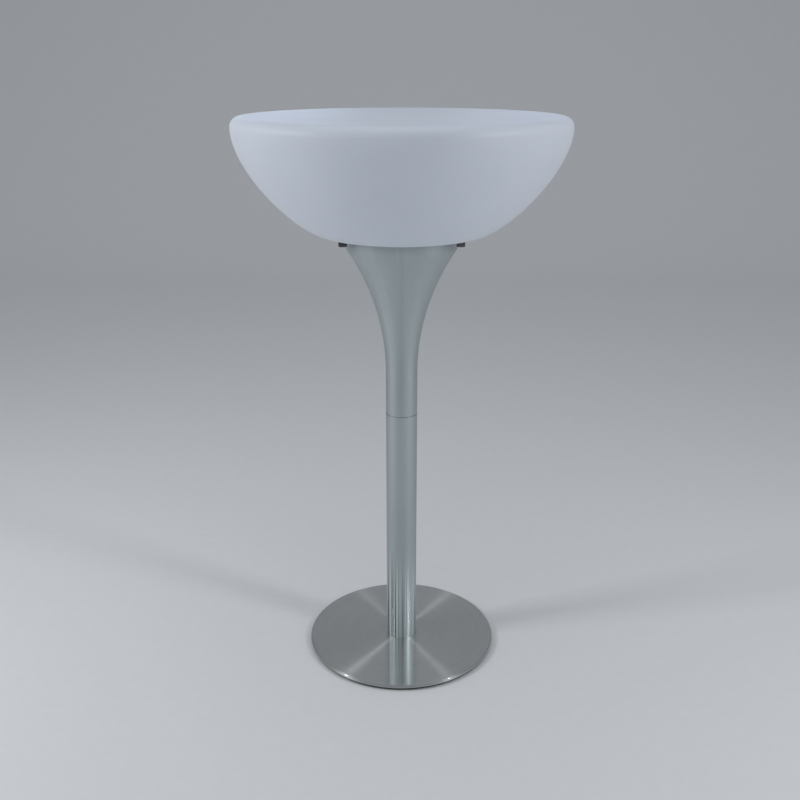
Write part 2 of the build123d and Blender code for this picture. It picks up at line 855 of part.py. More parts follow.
with BuildPart() as charge_port_cap:
    with BuildSketch(jack_plane.offset(flip_top)):
        Circle(flip_radius)
        with Locations((-flip_radius, 0)):
            Rectangle(2 * flip_tab_reach, flip_tab_width)
        with Locations((hinge_reach / 2, 0)):
            Rectangle(hinge_reach, knuckle_width)
    extrude(amount=-flip_thickness)
    with BuildSketch(jack_plane.offset(flip_top)):
        Circle(flip_plug_radius)
    extrude(amount=flip_plug_height)
    with BuildSketch(beside_jack(knuckle_width / 2)):
        with Locations((hinge_reach, hinge_level)):
            Circle(knuckle_radius)
    extrude(amount=knuckle_width)
    with BuildSketch(beside_jack(knuckle_width / 2)):
        with Locations((hinge_reach, hinge_level)):
            Circle(hinge_pin_radius + pin_gap)
    extrude(amount=knuckle_width, mode=Mode.SUBTRACT)

# Leads from the two ports through grommets to the control board
barrel_top = bowl_base + barrel_length
connector_face = connector_place + connector_length / 2
connector_middle = board_top + connector_height / 2


def bent_lead(points, radius, corner_radii):
    """A round lead along straight runs with an arc at each corner."""
    with BuildPart() as lead:
        with BuildLine() as path:
            FilletPolyline(*points, radius=corner_radii)
        with BuildSketch(Plane(origin=path.line @ 0, z_dir=path.line % 0)):
            Circle(radius)
        sweep()
    return lead


def corner_radii(points):
    """The largest arc at each corner that both runs beside it leave room for."""
    radii = []
    for before, corner, after in zip(points, points[1:], points[2:]):
        first = corner - before
        second = after - corner
        half_turn = math.radians(first.get_angle(second)) / 2
        radii.append(arc_share * min(first.length, second.length) / math.tan(half_turn))
    print("lead radii", [round(radius, 1) for radius in radii])
    return radii


def port_lead(angle):
    """The lead of one port: up from its barrel, over to the tray's wall and down to its connector."""
    points = [
        around(angle, port_radius, barrel_top),
        around(angle, port_radius, barrel_top + lead_rise),
        around(angle, port_radius - lead_shoulder, lead_heights),
        around(angle, lead_dip_start, lead_heights),
        around(angle, lead_dip_end, connector_middle),
        around(angle, connector_face, connector_middle),
    ]
    return bent_lead(points, lead_radius, corner_radii(points))


with BuildPart() as port_leads:
    for angle in (button_angle, jack_angle):
        add(port_lead(angle).part)

with BuildPart() as lead_grommets:
    for angle in (button_angle, jack_angle):
        wall_outside = Plane(origin=around(angle, tray_neck, lead_heights), z_dir=around(angle, 1, 0))
        with BuildSketch(wall_outside):
            Circle(grommet_radius - fit_gap)
        extrude(amount=-tray_side - grommet_head_thickness)
        with BuildSketch(wall_outside.offset(fit_gap)):
            Circle(grommet_head_radius)
        extrude(amount=grommet_head_thickness)
        with BuildSketch(wall_outside):
            Circle(grommet_radius - fit_gap)
        extrude(amount=grommet_head_thickness)
        with BuildSketch(wall_outside.offset(grommet_head_thickness + cut_overrun)):
            Circle(lead_radius + pin_gap)
        extrude(amount=-tray_side - 2 * grommet_head_thickness - 2 * cut_overrun, mode=Mode.SUBTRACT)

cell_end = cell_length / 2 - cell_tip_length
lead_row = cell_rows[-2]
lead_start = cell_level + cell_radius / 2
battery_points = [
    Vector(cell_end, lead_row, lead_start),
    Vector(cell_end + battery_lead_reach, lead_row, lead_start),
    Vector(cell_end + battery_lead_reach + battery_lead_slant, lead_row, lead_start + battery_lead_slant),
    Vector(cell_end + battery_lead_reach + battery_lead_slant, lead_row, board_base),
]
battery_lead = bent_lead(battery_points, battery_lead_radius, corner_radii(battery_points))

led_lead_shares = [(-0.5, -0.5)]
with BuildPart() as led_lead:
    with BuildSketch(Plane.XY.offset(board_top)):
        with Locations(*on_board(led_lead_shares)):
            Circle(led_lead_radius)
    extrude(amount=ledge_top - board_top)

pieces = {
    "base_cover": base_cover,
    "base_weight": base_weight,
    "foot_ring": foot_ring,
    "base_screws": base_screws,
    "lower_tube": lower_tube,
    "foot_plug": foot_plug,
    "tube_plug": tube_plug,
    "trumpet_plug": trumpet_plug,
    "joint_stud": joint_stud,
    "joint_nut": joint_nut,
    "trumpet": trumpet,
    "top_flange": top_flange,
    "seat_gasket": seat_gasket,
    "flange_washers": flange_washers,
    "flange_screws": flange_screws,
    "bowl_shell": bowl_shell,
    "bowl_inserts": bowl_inserts,
    "light_tray": light_tray,
    "tray_seal": tray_seal,
    "tray_screws": tray_screws,
    "battery_cells": battery_cells,
    "battery_cradle": battery_cradle,
    "battery_lead": battery_lead,
    "control_board": control_board,
    "board_parts": board_parts,
    "board_screws": board_screws,
    "led_board": led_board,
    "leds": leds,
    "led_board_screws": led_board_screws,
    "led_lead": led_lead,
    "infrared_eye": infrared_eye,
    "light_cover": light_cover,
    "power_button_body": power_button_body,
    "power_button_cap": power_button_cap,
    "power_button_spring": power_button_spring,
    "power_button_nut": power_button_nut,
    "charge_jack_body": charge_jack_body,
    "charge_jack_contact": charge_jack_contact,
    "charge_jack_nut": charge_jack_nut,
    "cap_hinge_pin": cap_hinge_pin,
    "charge_port_cap": charge_port_cap,
    "port_leads": port_leads,
    "lead_grommets": lead_grommets,
}
for name, piece in pieces.items():
    piece.part.label = name
    export_step(piece.part, f"parts/{name}.step")
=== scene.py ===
import json
from math import acos, asin, atan2, copysign, cos, degrees, pi, radians, sin, sqrt, tan

import bmesh
import bpy
from bpy.props import FloatProperty, FloatVectorProperty, IntProperty, PointerProperty
from mathutils import Matrix, Vector


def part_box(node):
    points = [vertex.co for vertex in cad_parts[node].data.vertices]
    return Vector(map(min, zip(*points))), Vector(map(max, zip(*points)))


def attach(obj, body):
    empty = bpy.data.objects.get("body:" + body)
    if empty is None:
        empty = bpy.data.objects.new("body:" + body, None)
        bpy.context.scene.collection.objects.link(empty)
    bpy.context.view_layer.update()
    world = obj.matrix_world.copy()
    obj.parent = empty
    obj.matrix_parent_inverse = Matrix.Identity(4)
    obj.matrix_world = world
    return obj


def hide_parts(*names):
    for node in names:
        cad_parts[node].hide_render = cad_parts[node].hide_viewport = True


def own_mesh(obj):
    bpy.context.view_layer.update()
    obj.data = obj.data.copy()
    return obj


bl_info = {
    "name": "Light up bar table",
    "version": (1, 0, 0),
    "blender": (4, 5, 0),
    "location": "3D View > Sidebar > Bar Table",
    "description": "Dresses a bar table with a bowl top, a steel trumpet column and a round base",
    "category": "Object",
}

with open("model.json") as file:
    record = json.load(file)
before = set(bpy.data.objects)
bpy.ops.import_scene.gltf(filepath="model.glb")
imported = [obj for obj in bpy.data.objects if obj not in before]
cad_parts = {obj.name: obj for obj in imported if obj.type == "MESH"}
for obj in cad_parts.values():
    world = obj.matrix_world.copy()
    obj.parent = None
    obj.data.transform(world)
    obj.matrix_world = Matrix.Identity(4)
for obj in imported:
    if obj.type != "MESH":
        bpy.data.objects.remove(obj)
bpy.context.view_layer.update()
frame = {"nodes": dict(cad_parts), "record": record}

TABLE = "table"
BUTTON = "power_button"
CAP = "charge_cap"
BUTTON_NODE = "power_button_cap"
JACK_NODE = "charge_jack_contact"
SMOOTHED_NODES = (
    "light_tray", "tray_seal", "battery_cradle", "battery_lead", "control_board", "board_parts",
    "led_board", "led_lead", "port_leads", "lead_grommets",
)
MM = 0.001
WHOLE_TURN = 2 * pi
SMOOTH_BELOW = radians(32)
UPRIGHT = Matrix.Rotation(pi / 2, 4, "X")
THREAD_DEPTH_SHARE = 0.45

# Lengths from here on, and in all functions that make pieces, are in millimetres.
SUPPORT_GAP = 0.3
EAR_PLACES = (125, 3, 90)
EAR_RADIUS = 9
EAR_BORE = 3.1
FLANGE_BORE = 84
WASHER = 8
EAR_BOSS_RISE = 16
INSERT_RISE = 12
TRAY_SCREW_PLACES = (94, 6, 30)
TRAY_BOSS = 5.5
TRAY_BOSS_RISE = 7
TRAY_PILOT = 2.1
BASE_SCREW_PLACES = (18, 3, 90)
BOARD_SCREW_PLACES = (64, 4, 0)
LED_BOARD_SCREW_PLACES = (78, 4, 45)
PAN_HEAD_RISE = 2
BASE_BORE = 4.1
STUD_BORE = 6.1
STUD_NUT = 19
STUD_PITCH = 1.75
INSERT_WIDTH = 10
RUBBER_WIDTH = 10
PORT_BORE = 6.1
PORT_NUT = 16
BARREL = 6
BARREL_END = 14
BEZEL = 8
BEZEL_FACE = -2
PORT_MOUTH = (5, BEZEL_FACE)
HINGE = (9.6, -3.1)
HINGE_BORE = 0.8
LUG_GAP = 2.95
LUG_WIDTH = 2
LED_RINGS = ((6, 0.25), (12, 0.5), (18, 0.75))
LED_BOARD_RADIUS = 83.5
LED_HALF = 2.5
LED_SINK = 0.25


def box_of(node):
    """A node's low and high corner."""
    return [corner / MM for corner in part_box(node)]


BOWL_LOW, BOWL_HIGH = box_of("bowl_shell")
TRUMPET_LOW, TRUMPET_HIGH = box_of("trumpet")
TUBE_LOW, TUBE_HIGH = box_of("lower_tube")
COVER_LOW, COVER_HIGH = box_of("base_cover")


def length(name, description, millimetres):
    """A length that a user can change, kept in metres."""
    return FloatProperty(name=name, description=description, default=millimetres * MM, unit="LENGTH")


def share(name, description, default):
    """A part of a whole that a user can change."""
    return FloatProperty(
        name=name, description=description, default=default, min=0, max=1, subtype="FACTOR"
    )


def colour(name, description, default):
    """A colour that a user can change."""
    return FloatVectorProperty(
        name=name, description=description, default=default, size=3, subtype="COLOR"
    )


class TableSizes(bpy.types.PropertyGroup):
    """Sizes of the pieces that are remade finer than the frame has them."""

    bowl_wall: length("Bowl wall", "Thickness of the moulded bowl", 5)
    bowl_foot: length("Bowl foot", "Radius of the bowl's flat underside", 150)
    rim_radius: length("Rim", "Radius of the rounded rim of the table top", 18)
    low_handle: share("Low handle", "How far the side starts out flat", 0.25)
    high_handle: share("High handle", "How far the side ends upright", 0.42)
    opening_radius: length("Opening", "Radius of the opening for the light tray", 88)
    rebate_radius: length("Rebate", "Radius of the rebate round the opening", 100)
    rebate_depth: length("Rebate depth", "Depth of the rebate round the opening", 4)
    sheet: length("Sheet", "Thickness of the column's and the cover's steel", 1.5)
    flare_height: length("Flare", "Height of the trumpet's flare", 250)
    collar_height: length("Collar", "Height of the trumpet's upright collar", 20)
    collar_bend: length("Collar bend", "Radius between flare and collar", 40)
    joint_edge: length("Joint edge", "Rounding of the two edges at the joint", 1)
    cover_edge: length("Cover edge", "Radius of the base cover's edge", 3.5)
    segments: IntProperty(
        name="Segments", description="Steps of a turned piece round its axis", default=288, min=24
    )


class TableFinish(bpy.types.PropertyGroup):
    """Colours and polish of the outer materials."""

    bowl_colour: colour("Bowl", "Colour of the frosted bowl", (0.775, 0.83, 0.92))
    bowl_roughness: share("Bowl roughness", "Roughness of the bowl", 0.5)
    steel_colour: colour("Column steel", "Colour of the column's stainless steel", (0.515, 0.57, 0.58))
    steel_roughness: share("Column roughness", "Roughness of the column's satin steel", 0.55)
    steel_brushing: share("Column brushing", "How far the grain stretches reflections", 0.4)
    disc_colour: colour("Disc steel", "Colour of the base cover's stainless steel", (0.57, 0.59, 0.58))
    disc_roughness: share("Disc roughness", "Roughness of the brushed base cover", 0.29)
    disc_brushing: share("Disc brushing", "How far the brushing stretches reflections", 1.0)


class StudioSettings(bpy.types.PropertyGroup):
    """Camera and lights."""

    lens: FloatProperty(name="Lens", description="Focal length in millimetres", default=42.67)
    distance: length("Distance", "From the camera to the table's axis", 1794.3)
    height: length("Height", "Of the camera", 1196.4)
    aside: length("Aside", "Camera's place in X", -3.2)
    pitch: FloatProperty(
        name="Pitch", description="Of the camera below level", default=radians(19.789), unit="ROTATION"
    )
    side_light: FloatProperty(name="Side lights", description="Power of each side light", default=12.0)
    top_light: FloatProperty(name="Top light", description="Power of the top light", default=7.0)
    rim_light: FloatProperty(name="Rim lights", description="Power of each light behind", default=0.05)
    sky: FloatProperty(name="Sky", description="Strength of the surrounding light", default=0.38)


class Amount:
    """What a node gives. Ordinary operators on numbers add their Math nodes."""

    def __init__(self, nodes, socket):
        self.nodes = nodes
        self.socket = socket

    def __add__(self, other):
        return self.nodes.maths("ADD", self, other)

    __radd__ = __add__

    def __sub__(self, other):
        return self.nodes.maths("SUBTRACT", self, other)

    def __rsub__(self, other):
        return self.nodes.maths("SUBTRACT", other, self)

    def __mul__(self, other):
        return self.nodes.maths("MULTIPLY", self, other)

    __rmul__ = __mul__

    def __truediv__(self, other):
        return self.nodes.maths("DIVIDE", self, other)

    def __pow__(self, other):
        return self.nodes.maths("POWER", self, other)

    def __abs__(self):
        return self.nodes.maths("ABSOLUTE", self)

    def below(self, other):
        """1 where it is below the other, and 0 elsewhere."""
        return self.nodes.maths("LESS_THAN", self, other)


class Nodes:
    """A node tree in which every node comes from node()."""

    def __init__(self, tree):
        self.tree = tree

    def node(self, kind, inputs=None, **settings):
        """A node of a kind, with its settings made first and then its sockets' values or links."""
        made = self.tree.nodes.new(kind)
        for name, value in settings.items():
            setattr(made, name, value)
        for name, value in (inputs or {}).items():
            self.feed(made.inputs[name], value)
        return made

    def feed(self, socket, value):
        """Links a socket to what a node gives, or sets its value."""
        if isinstance(value, Amount):
            self.tree.links.new(value.socket, socket)
        else:
            socket.default_value = value

    def out(self, kind, inputs=None, output=0, **settings):
        """What a new node gives at one of its outputs."""
        return Amount(self, self.node(kind, inputs, **settings).outputs[output])

    def maths(self, operation, *values):
        """What a Math node makes of some values."""
        return self.out("ShaderNodeMath", dict(enumerate(values)), operation=operation)

    def join(self, x=0.0, y=0.0, z=0.0):
        """A vector from its parts."""
        return self.out("ShaderNodeCombineXYZ", {0: x, 1: y, 2: z})

    def split(self, vector):
        """The three parts of a vector."""
        parts = self.node("ShaderNodeSeparateXYZ", {0: vector})
        return [Amount(self, socket) for socket in parts.outputs]


class Finish(Nodes):
    """One material."""

    def __init__(self, name, slot=None):
        self.slot = slot or name
        self.material = bpy.data.materials.new(name)
        self.material.use_nodes = True
        super().__init__(self.material.node_tree)
        self.tree.nodes.clear()
        self.surface = self.node("ShaderNodeBsdfPrincipled")
        self.node("ShaderNodeOutputMaterial", {"Surface": Amount(self, self.surface.outputs[0])})
        self.place = self.out("ShaderNodeTexCoord", output="Object")

    def noise(self, where, scale, detail=2.0, roughness=0.5):
        """A soft random pattern from 0 to 1."""
        inputs = {"Vector": where, "Scale": scale, "Detail": detail, "Roughness": roughness}
        return self.out("ShaderNodeTexNoise", inputs)

    def ease(self, value, start, end):
        """Goes smoothly from 0 to 1 as a value goes from start to end."""
        inputs = {"Value": value, "From Min": start, "From Max": end}
        return self.out("ShaderNodeMapRange", inputs, interpolation_type="SMOOTHSTEP")

    def blend(self, amount, first, second):
        """A colour from first to second."""
        return self.out("ShaderNodeMix", {0: amount, 6: first, 7: second}, 2, data_type="RGBA")

    def around_axis(self, turns, across, along):
        """A seamless vector round the Z axis, from how fast it changes round, across and along it."""
        x, y, z = self.split(self.place)
        radius = (x * x + y * y) ** 0.5 + 1e-6
        return self.join(x / radius * turns + radius * across, y / radius * turns, z * along)

    def set(self, **values):
        """Feeds the surface's sockets, whose names are given in small letters."""
        for name, value in values.items():
            self.feed(self.surface.inputs[name.replace("_", " ").title().replace("Ior", "IOR")], value)

    def bump(self, height, depth, strength=1.0):
        """Raises the surface by a height from 0 to 1, times a depth in millimetres."""
        inputs = {"Height": height, "Distance": depth * MM, "Strength": strength}
        self.set(normal=self.out("ShaderNodeBump", inputs))


def shade(base, light=1.0):
    """A colour with a share of its light, and opaque."""
    return tuple(part * light for part in base[:3]) + (1.0,)


def frosted_polyethylene(colours):
    """Rotomoulded polyethylene: a satin skin with a faint orange peel and slow mottling."""
    finish = Finish("frosted_polyethylene")
    mottle = finish.noise(finish.place, 9.0, 3.0)
    peel = finish.noise(finish.place, 260.0)
    grain = finish.noise(finish.place, 1400.0)
    base = colours.bowl_colour
    finish.set(
        base_color=finish.blend(finish.ease(mottle, 0.35, 0.65), shade(base), shade(base, 0.98)),
        roughness=colours.bowl_roughness + (mottle - 0.5) * 0.10 + (grain - 0.5) * 0.08,
        ior=1.51,
        subsurface_weight=0.35,
        subsurface_radius=(1.0, 1.0, 1.0),
        subsurface_scale=6 * MM,
    )
    finish.bump(peel + grain * 0.35, 0.05, 0.5)
    return finish


def disc_steel(colours):
    """Lacquered steel brushed in circles, in which a lamp draws a line from the middle to the edge."""
    finish = Finish("disc_steel", "brushed_stainless")
    cloud = finish.noise(finish.place, 7.0, 3.0)
    fine = finish.noise(finish.around_axis(3.0, 1900.0, 300.0), 1.0, 3.0, 0.6)
    rings = finish.noise(finish.around_axis(0.8, 260.0, 300.0), 1.0)
    tone = finish.ease(fine * 0.45 + rings * 0.2 + cloud * 0.35, 0.3, 0.7)
    x, y, _ = finish.split(finish.place)
    edge = finish.ease((x * x + y * y) ** 0.5, (COVER_HIGH.x - 4) * MM, (COVER_HIGH.x - 1) * MM)
    base = colours.disc_colour
    finish.set(
        base_color=finish.blend(tone, shade(base, 0.90), shade(base, 1.08)),
        roughness=colours.disc_roughness + (fine - 0.5) * 0.05 + (cloud - 0.5) * 0.05 + edge * 0.3,
        metallic=1.0,
        anisotropic=colours.disc_brushing,
        anisotropic_rotation=0.25,
        coat_weight=1.0,
        coat_roughness=0.04,
        coat_ior=2.3,
    )
    finish.bump(fine, 0.006, 0.4)
    return finish


def tube_steel(name, colours, seam):
    """Satin stainless steel with faint lines, foot streaks of grain and painted reflection, a painted
    shadow and highlight at the joint, and for the trumpet a weld seam down its front.
    """
    finish = Finish(name, "brushed_stainless")
    base = colours.steel_colour
    x, y, z = finish.split(finish.place)
    fine = finish.noise(finish.around_axis(60.0, 120.0, 1.5), 1.0, 3.0, 0.6)
    wide = finish.noise(finish.around_axis(3.0, 4.0, 1.0), 1.0)
    cloud = finish.noise(finish.join(x, y, z * 0.4), 12.0)
    tone = finish.ease(fine * 0.3 + wide * 0.35 + cloud * 0.35, 0.3, 0.7)
    surface = finish.blend(tone, shade(base, 0.90), shade(base, 1.06))
    # Toward the foot the colour gets lengthwise streaks from far darker to far brighter than the steel:
    # partly grain, partly painted reflection of the surroundings.
    foot = 1 - finish.ease(z, 60 * MM, 240 * MM)
    foot_streaks = finish.ease(finish.noise(finish.around_axis(7.0, 0.0, 0.0), 1.0, 1.5, 0.7), 0.42, 0.58)
    streaks_with_painted_reflection = finish.blend(foot_streaks, shade(base, 0.45), shade(base, 1.7))
    surface = finish.blend(foot * 0.85, surface, streaks_with_painted_reflection)
    # Painted shadow and painted highlight at the joint: just below it the colour is painted near black,
    # just above it brighter than the steel.
    above_joint = z - TUBE_HIGH.z * MM
    joint_shade = 1 - finish.ease(abs(above_joint), 0.4 * MM, 1.4 * MM)
    edges = finish.blend(1 - above_joint.below(0.0), shade(base, 0.1), shade(base, 1.5))
    surface = finish.blend(joint_shade * 0.6, surface, edges)
    roughness = colours.steel_roughness + (fine - 0.5) * 0.10 + (cloud - 0.5) * 0.05 - foot * 0.05
    height = fine + foot_streaks * foot * 0.05
    if seam:
        front = 1 - finish.ease(y, -30 * MM, -25 * MM)
        weld = (1 - finish.ease(abs(x), 0.4 * MM, 1.3 * MM)) * front
        tint = (1 - finish.ease(abs(x), 1 * MM, 9 * MM)) * front
        surface = finish.blend(tint * 0.10, surface, shade(base, 0.72))
        surface = finish.blend(weld * 0.12, surface, shade(base, 0.66))
        roughness = roughness + weld * 0.05
        height = height - weld * 0.8
    finish.set(
        base_color=surface,
        roughness=roughness,
        metallic=1.0,
        anisotropic=colours.steel_brushing,
        anisotropic_rotation=0.25,
    )
    finish.bump(height, 0.012, 0.4)
    return finish


# Colour, roughness, metallic, scale of the grain, its depth, its effect on the gloss and its dark tone.
GRAINED = {
    "plain_steel": ((0.42, 0.42, 0.42), 0.45, 1.0, 260, 0.02, 0.25, 0.7),
    "zinc_steel": ((0.62, 0.63, 0.64), 0.3, 1.0, 500, 0.01, 0.2, 0.78),
    # The thumb screws' zinc, painted darker to stand in for the shade under the bowl.
    "dark_zinc": ((0.19, 0.19, 0.20), 0.36, 0.9, 400, 0.012, 0.2, 0.5),
    "cast_iron": ((0.045, 0.046, 0.05), 0.62, 0.35, 420, 0.12, 0.25, 0.55),
    "black_rubber": ((0.022, 0.022, 0.023), 0.78, 0.0, 1500, 0.03, 0.16, 0.6),
    "insert_brass": ((0.70, 0.52, 0.24), 0.28, 1.0, 700, 0.01, 0.18, 0.8),
    "white_plastic": ((0.74, 0.74, 0.72), 0.46, 0.0, 800, 0.02, 0.12, 0.93),
    "black_plastic": ((0.025, 0.026, 0.028), 0.48, 0.0, 1300, 0.03, 0.16, 0.7),
    "cell_wrap": ((0.05, 0.16, 0.33), 0.3, 0.0, 90, 0.05, 0.2, 0.8),
    "led_package": ((0.85, 0.85, 0.83), 0.42, 0.0, 900, 0.01, 0.1, 0.94),
    "lens_black": ((0.012, 0.008, 0.014), 0.12, 0.0, 300, 0.004, 0.06, 0.8),
    "lead_sleeve": ((0.05, 0.05, 0.055), 0.52, 0.0, 900, 0.02, 0.14, 0.75),
    "nickel": ((0.66, 0.64, 0.60), 0.2, 1.0, 900, 0.006, 0.16, 0.85),
}

# Those that make_finishes() makes by name, as they get more than their grain or another slot.
OWN_FINISHES = ("zinc_steel", "dark_zinc", "led_package")


def grained(name, slot=None):
    """A matt or satin finish with a grain in its colour, gloss and height."""
    base, roughness, metallic, scale, depth, spread, dark = GRAINED[name]
    finish = Finish(name, slot)
    fine = finish.noise(finish.place, scale, 3.0)
    mixed = fine * 0.5 + finish.noise(finish.place, scale * 0.06) * 0.5
    finish.set(
        base_color=finish.blend(finish.ease(mixed, 0.35, 0.65), shade(base, dark), shade(base)),
        roughness=roughness + (mixed - 0.5) * spread,
        metallic=metallic,
    )
    finish.bump(fine, depth, 0.6)
    return finish


def zinc_steel():
    """Bright zinc with the faint yellow and blue clouds of its passivation."""
    finish = grained("zinc_steel")
    cloud = finish.ease(finish.noise(finish.place, 130.0), 0.4, 0.6)
    finish.set(base_color=finish.blend(cloud, (0.60, 0.58, 0.52, 1), (0.56, 0.60, 0.66, 1)))
    return finish


def board_green():
    """Solder mask over copper: paler lines where the tracks run."""
    finish = Finish("board_green")
    x, y, _ = finish.split(finish.place)
    bend = finish.noise(finish.place, 60.0, 1.0)
    along, across = (finish.maths("SINE", (way + bend * 0.012) * 1600.0) for way in (x, y))
    zone = finish.ease(finish.noise(finish.place, 45.0, 0.0), 0.47, 0.53)
    tracks = finish.ease(along * zone + across * (1 - zone), 0.55, 0.8)
    finish.set(
        base_color=finish.blend(tracks, (0.01, 0.10, 0.04, 1), (0.03, 0.22, 0.09, 1)),
        roughness=0.32 + tracks * 0.06,
    )
    finish.bump(tracks, 0.03)
    return finish


def board_metal():
    """White mask on an aluminium board, with the ring shaped tracks that feed the lights."""
    finish = Finish("board_metal")
    x, y, _ = finish.split(finish.place)
    tracks = finish.ease(finish.maths("SINE", (x * x + y * y) ** 0.5 * 900.0), 0.5, 0.7)
    grain = finish.noise(finish.place, 700.0)
    finish.set(
        base_color=finish.blend(tracks, (0.80, 0.81, 0.80, 1), (0.70, 0.72, 0.71, 1)),
        roughness=0.38 + (grain - 0.5) * 0.1,
    )
    finish.bump(tracks + grain * 0.2, 0.03)
    return finish


def led_package():
    """A white frame round a sunk yellow window, told apart by their levels."""
    finish = grained("led_package")
    level = finish.split(finish.place)[2]
    top = box_of("leds")[1].z
    window = level.below((top - LED_SINK / 2) * MM) * (1 - level.below((top - 2 * LED_SINK) * MM))
    finish.set(base_color=finish.blend(window, (0.85, 0.85, 0.83, 1), (0.86, 0.62, 0.10, 1)))
    return finish


def clear_plastic():
    """Clear polycarbonate with a faint haze."""
    finish = Finish("clear_plastic")
    haze = finish.noise(finish.place, 60.0, 3.0)
    finish.set(
        base_color=finish.blend(haze, (0.94, 0.96, 0.97, 1), (0.98, 0.99, 1.0, 1)),
        roughness=haze * 0.08,
        transmission_weight=1.0,
        ior=1.58,
    )
    return finish


# Filled by the first operator.
FINISHES = {}


def make_finishes(colours):
    """All finishes by name. Three stand for brushed_stainless and two for zinc_steel, one of them
    painted darker for shade.
    """
    made = {name: grained(name) for name in GRAINED if name not in OWN_FINISHES}
    made["dark_zinc"] = grained("dark_zinc", "zinc_steel")
    for make in (zinc_steel, board_green, board_metal, led_package, clear_plastic):
        made[make.__name__] = make()
    made["frosted_polyethylene"] = frosted_polyethylene(colours)
    made["disc_steel"] = disc_steel(colours)
    made["tube_steel"] = tube_steel("tube_steel", colours, False)
    made["trumpet_steel"] = tube_steel("trumpet_steel", colours, True)
    return made


def arc_points(centre, radius, start, end, steps):
    """Points of an arc between two angles in degrees."""
    found = []
    for step in range(steps + 1):
        angle = radians(start + (end - start) * step / max(steps, 1))
        found.append((centre[0] + radius * cos(angle), centre[1] + radius * sin(angle)))
    return found


def curve_points(corners, steps):
    """Points of the cubic curve that four corners draw."""
    found = []
    for step in range(steps + 1):
        t = step / steps
        u = 1 - t
        weights = (u ** 3, 3 * u * u * t, 3 * u * t * t, t ** 3)
        found.append(tuple(sum(w * c[axis] for w, c in zip(weights, corners)) for axis in (0, 1)))
    return found


def rounded(corners, steps=5):
    """Points of an outline from its corners, (x, z) or (x, z, radius), with support beside each arc.

    It is closed where its first corner is rounded.
    """
    found = []
    for index, (x, z, *radius) in enumerate(corners):
        if not radius:
            found.append((x, z))
            continue
        corner = Vector((x, z))
        before = Vector(corners[index - 1][:2]) - corner
        after = Vector(corners[(index + 1) % len(corners)][:2]) - corner
        half = before.angle(after) / 2
        reach = radius[0] / tan(half)
        room = reach + 3 * SUPPORT_GAP
        roomy = before.length > room, after.length > room
        before.normalize()
        after.normalize()
        if roomy[0]:
            found.append(tuple(corner + before * (reach + SUPPORT_GAP)))
        centre = corner + (before + after).normalized() * radius[0] / sin(half)
        first = corner + before * reach - centre
        last = corner + after * reach - centre
        turn = copysign(pi - 2 * half, first.cross(last))
        for step in range(steps + 1):
            found.append(tuple(centre + Matrix.Rotation(turn * step / steps, 2) @ first))
        if roomy[1]:
            found.append(tuple(corner + after * (reach + SUPPORT_GAP)))
    if len(corners[0]) > 2:
        found.append(found[0])
    return found


def threads(radius, start, end, pitch):
    """Outline points of a thread between two levels, from start to end."""
    count = max(1, round(abs(end - start) / pitch))
    rise = (end - start) / count
    found = []
    for index in range(count):
        level = start + rise * index
        found += [(radius, level), (radius - pitch * THREAD_DEPTH_SHARE, level + rise / 2)]
    return found + [(radius, end)]


def circle(radius, count, centre=(0, 0)):
    """Points of a circle."""
    return arc_points(centre, radius, 0, 360, count)[:-1]


def hexagon(width):
    """Corners of a hexagon from the width across its flats."""
    return circle(width / 2 / cos(pi / 6), 6)


def at(x, y, z=0, turn=0.0):
    """The matrix that turns a piece and moves it to a place."""
    return Matrix.Translation(Vector((x, y, z)) * MM) @ Matrix.Rotation(turn, 4, "Z")


def ring_places(radius, count, start):
    """Places on a circle, each turned outwards. The start angle is in degrees."""
    found = []
    for index in range(count):
        angle = radians(start) + WHOLE_TURN * index / count
        found.append(at(radius * cos(angle), radius * sin(angle), turn=angle))
    return found


def port_place(node, level=0):
    """The matrix from the table's axis to a port, with X away from the axis."""
    low, high = box_of(node)
    centre = (low + high) / 2
    return at(centre.x, centre.y, level, atan2(centre.y, centre.x))


class Shape(Nodes):
    """A geometry tree with named inputs."""

    def __init__(self, name, **inputs):
        super().__init__(bpy.data.node_groups.new(name, "GeometryNodeTree"))
        self.socket("Geometry", "INPUT", "Geometry")
        for label, kind in inputs.items():
            self.socket(label, "INPUT", kind)
        self.socket("Material", "INPUT", "Material")
        self.socket("Geometry", "OUTPUT", "Geometry")
        self.given = {found.name: Amount(self, found) for found in self.node("NodeGroupInput").outputs}

    def socket(self, label, way, kind):
        self.tree.interface.new_socket(label, in_out=way, socket_type=f"NodeSocket{kind}")

    def finished(self, geometry):
        """Realizes what the tree made, gives it its material and sends it out."""
        real = self.out("GeometryNodeRealizeInstances", {"Geometry": geometry})
        inputs = {"Geometry": real, "Material": self.given["Material"]}
        self.node("NodeGroupOutput", {0: self.out("GeometryNodeSetMaterial", inputs)})
        return self.tree


def turning_tree():
    """Turns an outline, drawn as a chain of points in the X Z plane, round the Z axis."""
    shape = Shape("turning_tree", Segments="Int")
    outline, segments = shape.given["Geometry"], shape.given["Segments"]
    points = shape.out("GeometryNodeAttributeDomainSize", {"Geometry": outline}, "Point Count")
    grid = shape.out("GeometryNodeMeshGrid", {"Vertices X": segments + 1.0, "Vertices Y": points})
    index = shape.out("GeometryNodeInputIndex")
    column = shape.maths("FLOOR", (index + 0.5) / points)
    place = shape.out("GeometryNodeInputPosition")
    inputs = {"Geometry": outline, "Value": place, "Index": index - column * points}
    x, _, z = shape.split(shape.out("GeometryNodeSampleIndex", inputs, data_type="FLOAT_VECTOR"))
    angle = column / segments * WHOLE_TURN
    turned = shape.join(x * shape.maths("COSINE", angle), x * shape.maths("SINE", angle), z)
    placed = shape.out("GeometryNodeSetPosition", {"Geometry": grid, "Position": turned})
    inputs = {"Geometry": placed, "Distance": 0.001 * MM}
    return shape.finished(shape.out("GeometryNodeMergeByDistance", inputs))


